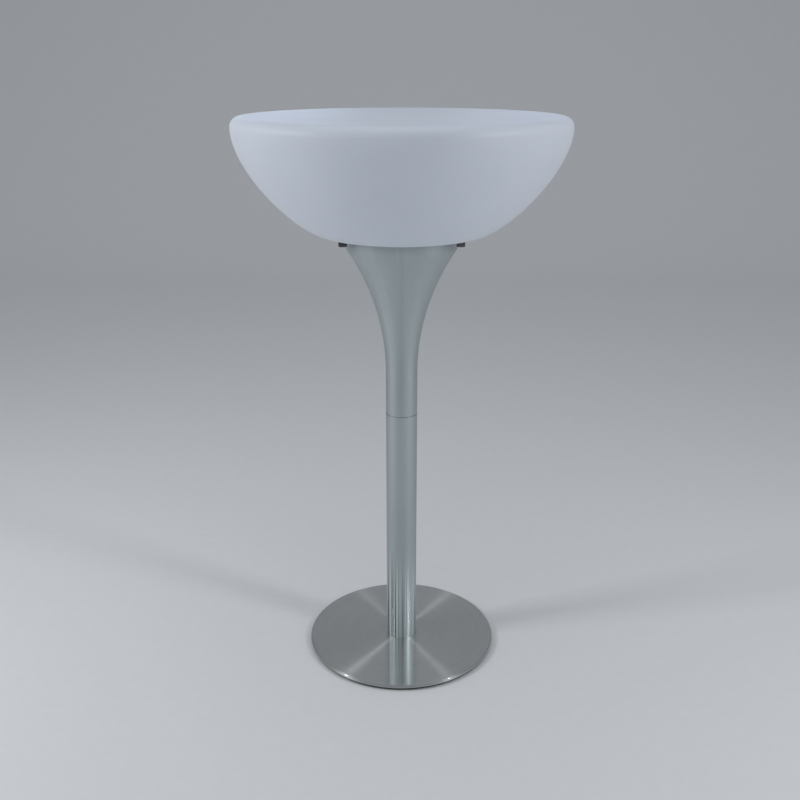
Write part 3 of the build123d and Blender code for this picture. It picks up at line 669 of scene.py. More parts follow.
def ring_tree():
    """Sets copies of a piece round the Z axis, turned outwards and then by a random angle."""
    shape = Shape(
        "ring_tree",
        Count="Int", Radius="Float", Start="Float", Level="Float", Spin="Float", Seed="Int",
    )
    given = shape.given
    inputs = {"Vertices": given["Count"], "Radius": given["Radius"]}
    points = shape.out("GeometryNodeMeshCircle", inputs)
    inputs = {
        "Geometry": points,
        "Rotation": shape.join(z=given["Start"]),
        "Translation": shape.join(z=given["Level"]),
    }
    placed = shape.out("GeometryNodeTransform", inputs)
    x, y, _ = shape.split(shape.out("GeometryNodeInputPosition"))
    inputs = {"Max": given["Spin"], "Seed": given["Seed"]}
    spin = shape.out("FunctionNodeRandomValue", inputs, 1, data_type="FLOAT")
    facing = shape.join(z=shape.maths("ARCTAN2", y, x) + spin)
    inputs = {"Points": placed, "Instance": given["Geometry"], "Rotation": facing}
    return shape.finished(shape.out("GeometryNodeInstanceOnPoints", inputs))


def spring_tree():
    """Winds a wire round the Z axis and thickens it."""
    shape = Shape("spring_tree", Turns="Float", Radius="Float", Rise="Float", Wire="Float")
    given = shape.given
    inputs = {
        "Resolution": 40,
        "Rotations": given["Turns"],
        "Start Radius": given["Radius"],
        "End Radius": given["Radius"],
        "Height": given["Rise"],
    }
    path = shape.out("GeometryNodeCurveSpiral", inputs)
    inputs = {"Resolution": 14, "Radius": given["Wire"] * 0.5}
    section = shape.out("GeometryNodeCurvePrimitiveCircle", inputs)
    inputs = {"Curve": path, "Profile Curve": section, "Fill Caps": True}
    return shape.finished(shape.out("GeometryNodeCurveToMesh", inputs))


def stand(data, name):
    """An object at the origin for a mesh, a lamp or a camera."""
    made = bpy.data.objects.new(name, data)
    bpy.context.scene.collection.objects.link(made)
    bpy.context.view_layer.update()
    return made


def settle(mesh):
    """An object for a finished mesh: smooth but for its sharp edges, with its faces outwards."""
    checked = bmesh.new()
    checked.from_mesh(mesh)
    if checked.calc_volume(signed=True) < 0:
        bmesh.ops.reverse_faces(checked, faces=checked.faces)
    checked.to_mesh(mesh)
    checked.free()
    for face in mesh.polygons:
        face.use_smooth = True
    mesh.set_sharp_from_angle(angle=SMOOTH_BELOW)
    return stand(mesh, "piece")


def evaluated(piece, used_up):
    """The piece that an object's modifiers make of it. The objects it took are removed."""
    bpy.context.view_layer.update()
    graph = bpy.context.evaluated_depsgraph_get()
    mesh = bpy.data.meshes.new_from_object(piece.evaluated_get(graph))
    for used in used_up:
        bpy.data.objects.remove(used)
    return settle(mesh)


def grown(source, make_tree, finish, **values):
    """The piece that a geometry tree makes from a source object, which is used up."""
    tree = bpy.data.node_groups.get(make_tree.__name__) or make_tree()
    modifier = source.modifiers.new("Made", "NODES")
    modifier.node_group = tree
    names = {item.name: item.identifier for item in tree.interface.items_tree if item.in_out == "INPUT"}
    for label, value in values.items():
        modifier[names[label]] = value
    modifier[names["Material"]] = FINISHES[finish].material
    return evaluated(source, [source])


def combined(piece, joined=(), cuts=(), common=()):
    """Joins some pieces to a piece, cuts others out of it or keeps what it shares. They are used up."""
    for operation, tools in (("UNION", joined), ("DIFFERENCE", cuts), ("INTERSECT", common)):
        for tool in tools:
            modifier = piece.modifiers.new("Cut", "BOOLEAN")
            modifier.operation = operation
            modifier.solver = "EXACT"
            modifier.object = tool
    return evaluated(piece, [piece, *joined, *cuts, *common])


def chain(points):
    """A source object whose mesh is a chain of points in the X Z plane."""
    mesh = bpy.data.meshes.new("outline")
    links = [(index, index + 1) for index in range(len(points) - 1)]
    mesh.from_pydata([(x * MM, 0, z * MM) for x, z in points], links, [])
    return stand(mesh, "outline")


def turned(points, finish, segments=None):
    """A piece turned about the Z axis."""
    count = segments or bpy.context.scene.bar_table_sizes.segments
    return grown(chain(points), turning_tree, finish, Segments=count)


def ring_of(source, finish, places, level, spin=WHOLE_TURN, seed=1):
    """Copies of a piece on a circle, as one piece. The places are given as for ring_places()."""
    radius, count, start = places
    return grown(
        source, ring_tree, finish,
        Count=count, Radius=radius * MM, Start=radians(start), Level=level * MM, Spin=spin, Seed=seed,
    )


def plate(loops, low, high, edge=0.0, steps=3):
    """An upright prism with rounded edges, from its outline and then those of its holes."""
    mesh = bmesh.new()
    angles = [pi / 2 * step / steps for step in range(steps)] if edge > 0 else []
    levels = [(edge * (1 - sin(angle)), low + edge * (1 - cos(angle))) for angle in angles]
    levels.append((0.0, low + edge))
    levels += [(inset, low + high - level) for inset, level in reversed(levels)]
    ends = [[], []]
    for number, loop in enumerate(loops):
        points = [Vector(point) for point in (loop[:1] + loop[:0:-1] if number > 0 else loop)]
        count = len(points)
        # The way out of the material at each point, longer at a corner but at most double.
        sides = []
        for index, here in enumerate(points):
            first = (here - points[index - 1]).normalized()
            middle = (first + (points[(index + 1) % count] - here).normalized()).normalized()
            sides.append(Vector((middle.y, -middle.x)) / max(0.5, middle.dot(first)))
        rings = []
        for inset, level in levels:
            corners = [point - side * inset for point, side in zip(points, sides)]
            rings.append([mesh.verts.new((x * MM, y * MM, level * MM)) for x, y in corners])
        for low_ring, high_ring in zip(rings, rings[1:]):
            for index in range(count):
                after = (index + 1) % count
                mesh.faces.new((low_ring[index], low_ring[after], high_ring[after], high_ring[index]))
        for end, ring in zip(ends, (rings[0], rings[-1])):
            end += [mesh.edges.get((ring[index - 1], ring[index])) for index in range(count)]
    for end in ends:
        bmesh.ops.triangle_fill(mesh, use_beauty=True, edges=end)
    bmesh.ops.recalc_face_normals(mesh, faces=mesh.faces)
    data = bpy.data.meshes.new("plate")
    mesh.to_mesh(data)
    mesh.free()
    return settle(data)


def moved(piece, *matrices):
    """A piece moved by some matrices in turn."""
    for matrix in matrices:
        piece.data.transform(matrix)
    return piece


def gathered(sources, places=(Matrix(),), merge=0.0):
    """A mesh with copies of some objects' meshes at some places, and with its near points merged."""
    whole = bmesh.new()
    for source in sources:
        for place in places:
            copy = source.data.copy()
            copy.transform(place)
            whole.from_mesh(copy)
            bpy.data.meshes.remove(copy)
    if merge > 0:
        bmesh.ops.remove_doubles(whole, verts=whole.verts, dist=merge * MM)
    mesh = bpy.data.meshes.new("gathered")
    whole.to_mesh(mesh)
    whole.free()
    return mesh


def cluster(sources, places=(Matrix(),)):
    """Copies of some pieces at some places, as one piece. The sources are used up."""
    mesh = gathered(sources, places)
    for source in sources:
        bpy.data.objects.remove(source)
    return settle(mesh)


def posts(loop, low, high, places, edge=0.0):
    """Equal prisms at some places, as one tool."""
    return cluster([plate([loop], low, high, edge)], places)


def keep(piece, name, node, finish, body=TABLE):
    """Names a finished piece and puts it on its body in place of its node."""
    piece.name = piece.data.name = name
    piece.data.materials.clear()
    piece.data.materials.append(FINISHES[finish].material)
    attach(piece, body)
    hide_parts(node)


def keep_turned(name, node, finish, points, segments=None, place=Matrix(), body=TABLE):
    """Turns an outline into the piece that stands in place of a node."""
    keep(moved(turned(points, finish, segments), place), name, node, finish, body)


def keep_ring(name, node, finish, source, places, level=None, **turning):
    """Sets copies of a piece on a circle in place of a node, by default at its low end."""
    level = box_of(node)[0].z if level is None else level
    keep(ring_of(source, finish, places, level, **turning), name, node, finish)


def hexagon_nut(width, bore, low, high):
    """A nut whose corners are turned off at both ends."""
    flat, corner, bevel, steepness = width / 2, hexagon(width)[0][0], 0.6, 0.6
    slope = (corner - flat) * steepness
    outline = [
        (bore + bevel, low), (flat, low), (corner, low + slope), (corner, high - slope), (flat, high),
        (bore + bevel, high), (bore, high - bevel), (bore, low + bevel), (bore + bevel, low),
    ]
    block = plate([hexagon(width)], low - 1, high + 1)
    return combined(turned(outline, "zinc_steel", 72), common=[block])


def countersunk_screw(head, shank, length, pitch, drive, drive_depth):
    """A screw that points up, with a hexagon socket in its flat head at the origin."""
    outline = [(0, 0), (head - 0.2, 0), (head, 0.2)]
    outline += threads(shank, head - shank + 0.5, length - 1, pitch)
    outline += [(shank - 1, length), (0, length)]
    socket = plate([hexagon(drive)], -1, drive_depth)
    return combined(turned(outline, "zinc_steel", 48), cuts=[socket])


def pan_head_screw(length):
    """A small screw that points down, with a cross recess in its domed head."""
    head, rise, shank = 2.8, PAN_HEAD_RISE, 1.5
    slot_reach, slot_half = 1.6, 0.3
    outline = [(0, -length), (shank - 0.5, -length)] + threads(shank, 0.5 - length, -0.2, 0.5)
    outline += [(head, 0), (head, rise * 0.45), (head - 0.35, rise * 0.75), (head - 1, rise * 0.94)]
    slots = []
    for x, y in ((slot_reach, slot_half), (slot_half, slot_reach)):
        slots.append(plate([[(-x, -y), (x, -y), (x, y), (-x, y)]], rise * 0.5, rise * 1.5))
    body = turned(outline + [(0, rise)], "zinc_steel", 32)
    return combined(body, cuts=slots)


def lengths(*names):
    """Some of the sizes that a user can change, in millimetres."""
    return [getattr(bpy.context.scene.bar_table_sizes, name) / MM for name in names]


class BARTABLE_OT_finishes(bpy.types.Operator):
    """Makes the materials of all pieces"""

    bl_idname = "bartable.finishes"
    bl_label = "Finishes"

    def execute(self, context):
        FINISHES.update(make_finishes(context.scene.bar_table_finish))
        return {"FINISHED"}


class BARTABLE_OT_base(bpy.types.Operator):
    """Makes the base cover, the weight in it, the rubber ring and the screws"""

    bl_idname = "bartable.base"
    bl_label = "Base"

    def execute(self, context):
        wall, edge = lengths("sheet", "cover_edge")
        radius, low, high = COVER_HIGH.x, COVER_LOW.z, COVER_HIGH.z
        outline = rounded(
            [(0, high), (radius, high, edge), (radius, low, 0.7), (radius - wall, low, 0.7),
             (radius - wall, high - wall, edge - wall), (0, high - wall)],
            8,
        )
        cover = turned(outline, "disc_steel", 384)
        places = ring_places(*BASE_SCREW_PLACES)
        bores = posts(circle(BASE_BORE, 32), high - 3 * wall, high + wall, places)
        keep(combined(cover, cuts=[bores]), "disc_cover", "base_cover", "disc_steel")
        low, high = box_of("foot_ring")
        outer, inner = high.x, high.x - RUBBER_WIDTH
        self.weight(places, outer, inner, high.z)
        ribbed = self.ribbed(outer, inner, low.z, high.z)
        keep_turned("rubber_ring", "foot_ring", "black_rubber", ribbed, 256)
        screw = countersunk_screw(head=8, shank=4, length=22, pitch=1.25, drive=5, drive_depth=2.5)
        keep_ring("base_screw_set", "base_screws", "zinc_steel", screw, BASE_SCREW_PLACES)
        return {"FINISHED"}

    def ribbed(self, outer, inner, low, high):
        """The rubber ring's outline, with three ribs that stand on the floor."""
        rib, joint_shade, ribs = 2.4, 0.9, 3
        corners = [(outer, high, 0.3), (inner, high, 0.3)]
        for index in range(ribs):
            left = inner + index * (outer - inner - rib) / (ribs - 1)
            corners += [(left, low + joint_shade, 0.25)] if index > 0 else []
            corners += [(left, low, 0.5), (left + rib, low, 0.5)]
            corners += [(left + rib, low + joint_shade, 0.25)] if index < ribs - 1 else []
        return rounded(corners, 3)

    def weight(self, places, outer, inner, groove_top):
        """The cast disc with its ring groove and countersunk holes."""
        low, high = box_of("base_weight")
        outline = rounded(
            [(0, high.z), (high.x, high.z, 3.5), (high.x, low.z, 0.8), (outer, low.z, 0.3),
             (outer, groove_top, 0.2), (inner, groove_top, 0.2), (inner, low.z, 0.3), (0, low.z)],
        )
        head, shank = 8.1, BASE_BORE
        sink = [
            (0, low.z - 1), (head + 1, low.z - 1), (shank, low.z + head - shank), (shank, high.z + 1),
            (0, high.z + 1),
        ]
        sinks = cluster([turned(sink, "cast_iron", 48)], places)
        disc = turned(outline, "cast_iron")
        keep(combined(disc, cuts=[sinks]), "cast_weight", "base_weight", "cast_iron")


class BARTABLE_OT_column(bpy.types.Operator):
    """Makes the trumpet and the tube below it"""

    bl_idname = "bartable.column"
    bl_label = "Column"

    def execute(self, context):
        keep_turned("trumpet_flare", "trumpet", "trumpet_steel", self.trumpet())
        wall, edge = lengths("sheet", "joint_edge")
        outer, low, high = TUBE_HIGH.x, TUBE_LOW.z, TUBE_HIGH.z
        outline = rounded(
            [(outer, low, 0.5), (outer, high, edge), (outer - wall, high, 0.3),
             (outer - wall, low, 0.3)],
        )
        keep_turned("column_tube", "lower_tube", "tube_steel", outline, 192)
        return {"FINISHED"}

    def trumpet(self):
        """Outer side, upper edge, inner side and lower edge of the trumpet."""
        wall, edge, flare, bend_radius = lengths("sheet", "joint_edge", "flare_height", "collar_bend")
        pipe, collar, low, top = TUBE_HIGH.x, TRUMPET_HIGH.x, TRUMPET_LOW.z, TRUMPET_HIGH.z
        reach = collar - pipe
        radius = (reach ** 2 + flare ** 2) / (2 * reach)
        centre = (pipe + radius, top - lengths("collar_height")[0] - flare)
        bend_x = collar - bend_radius
        bend_rise = sqrt((radius + bend_radius) ** 2 - (centre[0] - bend_x) ** 2)
        bend = (bend_x, centre[1] + bend_rise)
        tip = degrees(atan2(bend_rise, bend_x - centre[0]))
        foot = arc_points((pipe - edge, low + edge), edge, -90, 0, 6) + [(pipe, low + 3 * edge)]
        outer = arc_points(centre, radius, 180, tip, 48)
        outer += arc_points(bend, bend_radius, tip - 180, 0, 8)[1:]
        inner = arc_points(bend, bend_radius - wall, 0, tip - 180, 8)
        inner += arc_points(centre, radius + wall, tip, 180, 48)[1:]
        above = bend[1] + 1
        rim = rounded(
            [(collar, above), (collar, top, 0.3), (collar - wall, top, 0.3), (collar - wall, above)]
        )
        return foot + outer + rim + inner + [(pipe - wall, low), foot[0]]


class BARTABLE_OT_joint(bpy.types.Operator):
    """Makes the plugs, the stud and the nut that join the column's halves"""

    bl_idname = "bartable.joint"
    bl_label = "Joint"

    def execute(self, context):
        for node in ("tube_plug", "trumpet_plug"):
            low, high = box_of(node)
            outline = [(high.x, low.z, 1), (high.x, high.z, 1)]
            outline += [(STUD_BORE, high.z, 0.4), (STUD_BORE, low.z, 0.4)]
            keep_turned(node + "_turned", node, "plain_steel", rounded(outline), 96)
        low, high = box_of("foot_plug")
        outline = rounded([(0, high.z), (high.x, high.z, 1), (high.x, low.z, 0.4), (0, low.z)])
        tapped = posts(circle(BASE_BORE, 32), low.z - 1, high.z + 1, ring_places(*BASE_SCREW_PLACES))
        plug = combined(turned(outline, "plain_steel", 96), cuts=[tapped])
        keep(plug, "foot_plug_turned", "foot_plug", "plain_steel")
        low, high = box_of("joint_stud")
        tip = high.x - 1
        outline = [(0, low.z), (tip, low.z)] + threads(high.x, low.z + 1, high.z - 1, STUD_PITCH)
        outline += [(tip, high.z), (0, high.z)]
        keep_turned("joint_stud_turned", "joint_stud", "zinc_steel", outline, 64)
        low, high = box_of("joint_nut")
        nut = hexagon_nut(STUD_NUT, STUD_BORE, low.z, high.z)
        keep(nut, "joint_nut_turned", "joint_nut", "zinc_steel")
        return {"FINISHED"}


class BARTABLE_OT_seat(bpy.types.Operator):
    """Makes the flange, the gasket, the washers and the thumb screws that carry the bowl"""

    bl_idname = "bartable.seat"
    bl_label = "Seat"

    def execute(self, context):
        loops = [self.eared_loop(), circle(FLANGE_BORE, 128)]
        loops += [circle(EAR_BORE, 24, place.translation / MM) for place in ring_places(*EAR_PLACES)]
        for node, name, finish, edge in (
            ("top_flange", "seat_flange", "tube_steel", 0.5),
            ("seat_gasket", "seat_cushion", "black_rubber", 0.35),
        ):
            low, high = box_of(node)
            keep(plate(loops, low.z, high.z, edge), name, node, finish)
        low, high = box_of("flange_washers")
        washer = plate([circle(WASHER, 48), circle(EAR_BORE, 32)], 0, high.z - low.z, 0.25)
        keep_ring("seat_washers", "flange_washers", "zinc_steel", washer, EAR_PLACES)
        screw = self.thumb_screw()
        # The thumb screws' zinc is painted darker for the shade they sit in under the bowl.
        keep_ring("seat_screws", "flange_screws", "dark_zinc", screw, EAR_PLACES, low.z, seed=4)
        low, high = box_of("bowl_inserts")
        insert = plate([hexagon(INSERT_WIDTH), circle(EAR_BORE, 24)], 0, high.z - low.z, 0.3)
        keep_ring("seat_inserts", "bowl_inserts", "insert_brass", insert, EAR_PLACES, spin=0.0)
        return {"FINISHED"}

    def eared_loop(self):
        """The outline of the seat: a circle flush with the collar, with a round ended ear per screw."""
        ring = TRUMPET_HIGH.x
        root = degrees(asin(EAR_RADIUS / ring))
        ear = arc_points((EAR_PLACES[0], 0), EAR_RADIUS, -90, 90, 16)
        found = []
        for angle in (90, 210, 330):
            turn = Matrix.Rotation(radians(angle), 2)
            found += [tuple(turn @ Vector(point)) for point in ear]
            # The ear's root, the arc to the next ear and that one's root.
            for start, end, steps in ((root, root, 0), (5, 115, 88), (120 - root, 120 - root, 0)):
                found += arc_points((0, 0), ring, angle + start, angle + end, steps)
        return found

    def thumb_screw(self):
        """A screw that points up, with a fluted head below the origin."""
        radius, flute, count, height, collar_radius = WASHER, 1.1, 12, 9, 6.8
        shank, reach, bevel = 3, 16, 0.6
        half = degrees(asin(flute / radius / 2))
        dip = arc_points((radius, 0), flute, 270 - half, 90 + half, 6)
        swell = arc_points((0, 0), radius, 2 * half, 360 / count - 2 * half, 4)[1:-1]
        loop = []
        for index in range(count):
            turn = Matrix.Rotation(WHOLE_TURN * index / count, 2)
            loop += [tuple(turn @ Vector(point)) for point in dip + swell]
        head = plate([loop], -height, -0.2, 0.35)
        outline = [(0, -1), (shank, -1)] + threads(shank, 0.5, reach - 0.5, 1)
        thread = turned(outline + [(shank - bevel, reach), (0, reach)], "zinc_steel", 32)
        collar = plate([circle(collar_radius, 48)], -1.5, 0, 0.2)
        outline = [(0, -height - 1), (5.4, -height - 1), (4.9, 0.5 - height), (0, 0.7 - height)]
        dish = turned(outline, "zinc_steel", 48)
        return combined(head, [thread, collar], [dish])


class BARTABLE_OT_bowl(bpy.types.Operator):
    """Makes the closed bowl with its rebated opening, its bosses and its holes"""

    bl_idname = "bartable.bowl"
    bl_label = "Bowl"

    def execute(self, context):
        wall, foot, opening, rebate, depth = lengths(
            "bowl_wall", "bowl_foot", "opening_radius", "rebate_radius", "rebate_depth"
        )
        low, high = BOWL_LOW.z, BOWL_HIGH.z
        step = low + depth + wall
        lip = rounded(
            [(foot - 20, low + wall), (rebate + wall, low + wall, 0.8), (rebate + wall, step, 0.8),
             (opening, step, 0.8), (opening, low + depth, 0.5), (rebate, low + depth, 0.5),
             (rebate, low, 0.6), (foot - 20, low)],
        )
        outline = [(0, high - wall)] + self.side(wall)[::-1] + lip + self.side(0) + [(0, high)]
        bowl = turned(outline, "frosted_polyethylene")
        ears, tray = ring_places(*EAR_PLACES), ring_places(*TRAY_SCREW_PLACES)
        ports = [port_place(BUTTON_NODE), port_place(JACK_NODE)]
        bosses = [
            posts(circle(EAR_RADIUS, 32), low + wall / 2, low + EAR_BOSS_RISE, ears, 1),
            posts(circle(TRAY_BOSS, 24), step - wall / 2, step + TRAY_BOSS_RISE, tray, 1),
        ]
        holes = [
            posts(hexagon(INSERT_WIDTH), low - wall, low + INSERT_RISE, ears),
            posts(circle(TRAY_PILOT, 20), low, step + TRAY_BOSS_RISE - 2, tray),
            posts(circle(PORT_BORE, 48), low - wall, low + 2 * wall, ports),
        ]
        keep(combined(bowl, bosses, holes), "bowl", "bowl_shell", "frosted_polyethylene")
        return {"FINISHED"}

    def side(self, inset):
        """The bowl's side from its foot to the flat top, drawn inside its skin by an inset.

        The inner side's handles are shorter, which keeps the wall even.
        """
        sizes = bpy.context.scene.bar_table_sizes
        foot, rim = lengths("bowl_foot", "rim_radius")
        radius, low, rim_level = BOWL_HIGH.x, BOWL_LOW.z + inset, BOWL_HIGH.z - rim
        low_handle = sizes.low_handle * (radius - foot) - 0.75 * inset
        high_handle = sizes.high_handle * (rim_level - BOWL_LOW.z) - 0.5 * inset
        outer = radius - inset
        corners = [(foot, low), (foot + low_handle, low)]
        corners += [(outer, rim_level - high_handle), (outer, rim_level)]
        edge = arc_points((radius - rim, rim_level), rim - inset, 0, 90, 14)
        return curve_points(corners, 56) + edge[1:]


class BARTABLE_OT_ports(bpy.types.Operator):
    """Makes the push button and the charging socket with its flip cap"""

    bl_idname = "bartable.ports"
    bl_label = "Ports"

    def execute(self, context):
        self.button(port_place(BUTTON_NODE, BOWL_LOW.z))
        self.spring()
        jack = port_place(JACK_NODE, BOWL_LOW.z)
        self.socket(jack)
        self.flip_cap(jack)
        for node, port in (("power_button_nut", BUTTON_NODE), ("charge_jack_nut", JACK_NODE)):
            low, high = box_of(node)
            nut = hexagon_nut(PORT_NUT, PORT_BORE, low.z, high.z)
            keep(moved(nut, port_place(port)), node + "_turned", node, "zinc_steel")
        return {"FINISHED"}

    def barrel(self, bore):
        """Outline of a barrel with its bezel and its bore, as both ports have it."""
        outline = [(0, BARREL_END), (5.4, BARREL_END)] + threads(BARREL, BARREL_END - 0.5, 0.5, 1)
        bezel = [(BARREL, 0.4), (BARREL, 0), (BEZEL, 0, 0.2), (BEZEL, BEZEL_FACE, 1.1), PORT_MOUTH]
        return outline + rounded(bezel)[1:] + rounded([PORT_MOUTH, *bore])[1:]

    def button(self, place):
        """The barrel, and in it the cap with its collar and stem."""
        bore = [(4.3, BEZEL_FACE, 0.3), (4.3, -0.5, 0.1), (5.1, -0.5, 0.1), (5.1, 10, 0.3), (0, 10)]
        keep_turned("button_barrel", "power_button_body", "nickel", self.barrel(bore), 96, place)
        outline = rounded(
            [(0, -3.2), (2.9, -3.3, 0.2), (3.2, -3.5, 0.1), (4.2, -3.5, 0.5), (4.2, -0.4, 0.1),
             (5, -0.4, 0.15), (5, 1.6, 0.3), (2.4, 1.6, 0.1), (2.4, 2.6, 0.3), (0, 2.6)],
        )
        keep_turned("button_cap", BUTTON_NODE, "black_plastic", outline, 96, place, BUTTON)

    def spring(self):
        """The coil under the cap, set on the button's body."""
        low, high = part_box("power_button_spring")
        coil, turns = 0.6 * MM, 5.0
        x, y, _ = (low + high) / 2
        height, radius = high.z - low.z, (high.x - low.x - coil) / 2
        made = grown(
            chain([(0, 0), (1, 0)]), spring_tree, "zinc_steel",
            Turns=turns, Radius=radius, Rise=height - coil, Wire=coil,
        )
        moved(made, Matrix.Translation((x, y, low.z + coil / 2)))
        keep(made, "button_spring", "power_button_spring", "zinc_steel", BUTTON)
        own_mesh(made)

    def across_hinge(self, radius, reach, count=24, edge=0.0):
        """A round piece along the cap's hinge."""
        return moved(plate([circle(radius, count, HINGE)], -reach, reach, edge), UPRIGHT)

    def socket(self, place):
        """The socket with two lugs beside its hinge, its contact and the hinge's pin."""
        bore = [(3.1, BEZEL_FACE, 0.4), (3.1, 8, 0.3), (0, 8)]
        body = turned(self.barrel(bore), "black_plastic", 96)
        lug = [(BARREL, -0.8), (BARREL, -1.9), (BEZEL, BEZEL_FACE)]
        lug += arc_points(HINGE, 1.6, 180, 360, 16) + [(HINGE[0] + 1.6, -0.8)]
        lugs = []
        for start in (LUG_GAP, -LUG_GAP - LUG_WIDTH):
            lugs.append(moved(plate([lug], start, start + LUG_WIDTH, 0.2), UPRIGHT))
        made = combined(body, lugs, [self.across_hinge(HINGE_BORE, 6)])
        keep(moved(made, place), "socket_body", "charge_jack_body", "black_plastic")
        pin = rounded([(0, 8), (1, 8), (1, 0.5, 0.7), (0, 0.5)])
        keep_turned("socket_contact", JACK_NODE, "nickel", pin, 32, place)
        rod = self.across_hinge(0.75, LUG_GAP + LUG_WIDTH, edge=0.15)
        keep(moved(rod, place), "hinge_rod", "cap_hinge_pin", "zinc_steel")

    def flip_cap(self, place):
        """A disc with a pull tab, an arm with a knuckle and a plug that fills the socket."""
        radius, arm, tab = 7.6, 2.8, 2
        low, high = -4, -2.2
        arm_turn = degrees(asin(arm / radius))
        tab_turn = degrees(asin(tab / radius))
        loop = [(HINGE[0], -arm), (HINGE[0], arm)]
        loop += arc_points((0, 0), radius, arm_turn, 180 - tab_turn, 40)
        loop += arc_points((1 - radius - tab, 0), tab, 90, 270, 12)
        loop += arc_points((0, 0), radius, 180 + tab_turn, 360 - arm_turn, 40)
        cap = plate([loop], low, high, 0.4)
        knuckle = self.across_hinge(1.5, arm, 32, 0.15)
        plug = plate([circle(2.4, 40)], high - 0.4, -0.5, 0.4)
        pin_hole = self.across_hinge(HINGE_BORE, 6)
        made = combined(cap, [knuckle, plug], [pin_hole])
        keep(moved(made, place), "flip_cap", "charge_port_cap", "black_rubber", CAP)


class BARTABLE_OT_lights(bpy.types.Operator):
    """Makes the rings of lights on the light board, the remote control eye, the clear dome and the
    screws
    """

    bl_idname = "bartable.lights"
    bl_label = "Lights"

    def execute(self, context):
        self.leds()
        radius, base, rise = 3, 4, 3
        low = box_of("infrared_eye")[0].z
        outline = rounded([(0, low), (base, low, 0.2), (base, low + rise, 0.3), (radius, low + rise)])
        outline += arc_points((0, low + rise), radius, 0, 90, 12)[1:]
        keep_turned("eye", "infrared_eye", "lens_black", outline, 64)
        self.dome()
        for node, screw_length, places in (
            ("board_screws", 10, BOARD_SCREW_PLACES),
            ("led_board_screws", 7, LED_BOARD_SCREW_PLACES),
        ):
            level = box_of(node)[1].z - PAN_HEAD_RISE
            keep_ring(node + "_fine", node, "zinc_steel", pan_head_screw(screw_length), places, level)
        screw = countersunk_screw(head=4, shank=2, length=14, pitch=1.2, drive=2.5, drive_depth=1.2)
        keep_ring("tray_screw_set", "tray_screws", "zinc_steel", screw, TRAY_SCREW_PLACES)
        return {"FINISHED"}

    def leds(self):
        """Rings of packages, each with a sunk window."""
        low, high = box_of("leds")
        half, rise = LED_HALF, high.z - low.z
        rings = []
        for count, place in LED_RINGS:
            square = [(-half, -half), (half, -half), (half, half), (-half, half)]
            package = plate([square], 0, rise, 0.15, 2)
            sunk = plate([circle(1.9, 16)], rise - LED_SINK, rise + LED_SINK)
            one = combined(package, cuts=[sunk])
            places = (place * LED_BOARD_RADIUS, count, 0)
            rings.append(ring_of(one, "led_package", places, low.z, spin=0.0))
        keep(cluster(rings), "led_rings", "leds", "led_package")

    def dome(self):
        """The clear cover: an upright skirt under a shallow dome, of even wall."""
        low, high = box_of("light_cover")
        radius, wall, rise = high.x, 2, 26
        sphere = (radius ** 2 + rise ** 2) / (2 * rise)
        centre = (0, high.z - sphere)
        edge = degrees(acos(radius / sphere))
        inner_edge = degrees(acos((radius - wall) / (sphere - wall)))
        outline = arc_points(centre, sphere - wall, 90, inner_edge, 40)
        outline += [(radius - wall, low.z), (radius, low.z)] + arc_points(centre, sphere, edge, 90, 40)
        keep_turned("dome", "light_cover", "clear_plastic", outline, 160)


class BARTABLE_OT_inside(bpy.types.Operator):
    """Makes the wrapped cells and smooths the boards, the tray and the leads"""

    bl_idname = "bartable.inside"
    bl_label = "Inside"

    def execute(self, context):
        self.cells()
        slots = {row["node"]: row["material_slot"] for row in frame["record"]["subparts"]}
        for node in SMOOTHED_NODES:
            mesh = gathered([frame["nodes"][node]], merge=0.01)
            keep(settle(mesh), node + "_fine", node, slots[node])
        return {"FINISHED"}

    def cells(self):
        """Four wrapped cells with a crimp groove and a raised pole."""
        low, high = box_of("battery_cells")
        radius, tip, count = 9.25, high.x - low.x, 4
        pitch = (high.y - low.y - 2 * radius) / (count - 1)
        end = tip - 0.8
        outline = rounded(
            [(0, 0.3), (6.5, 0.3, 0.2), (7, 0, 0.2), (radius, 0, 0.7), (radius, end - 5, 0.3),
             (radius - 0.7, end - 4.4, 0.3), (radius, end - 3.8, 0.3), (radius, end, 0.8),
             (5.4, end, 0.2), (5.2, end - 0.4, 0.2), (2.8, end - 0.4, 0.2), (2.8, tip, 0.3), (0, tip)],
        )
        cell = moved(turned(outline, "cell_wrap", 64), Matrix.Rotation(pi / 2, 4, "Y"))
        places = [at(low.x, low.y + radius + index * pitch, low.z + radius) for index in range(count)]
        keep(cluster([cell], places), "wrapped_cells", "battery_cells", "cell_wrap")


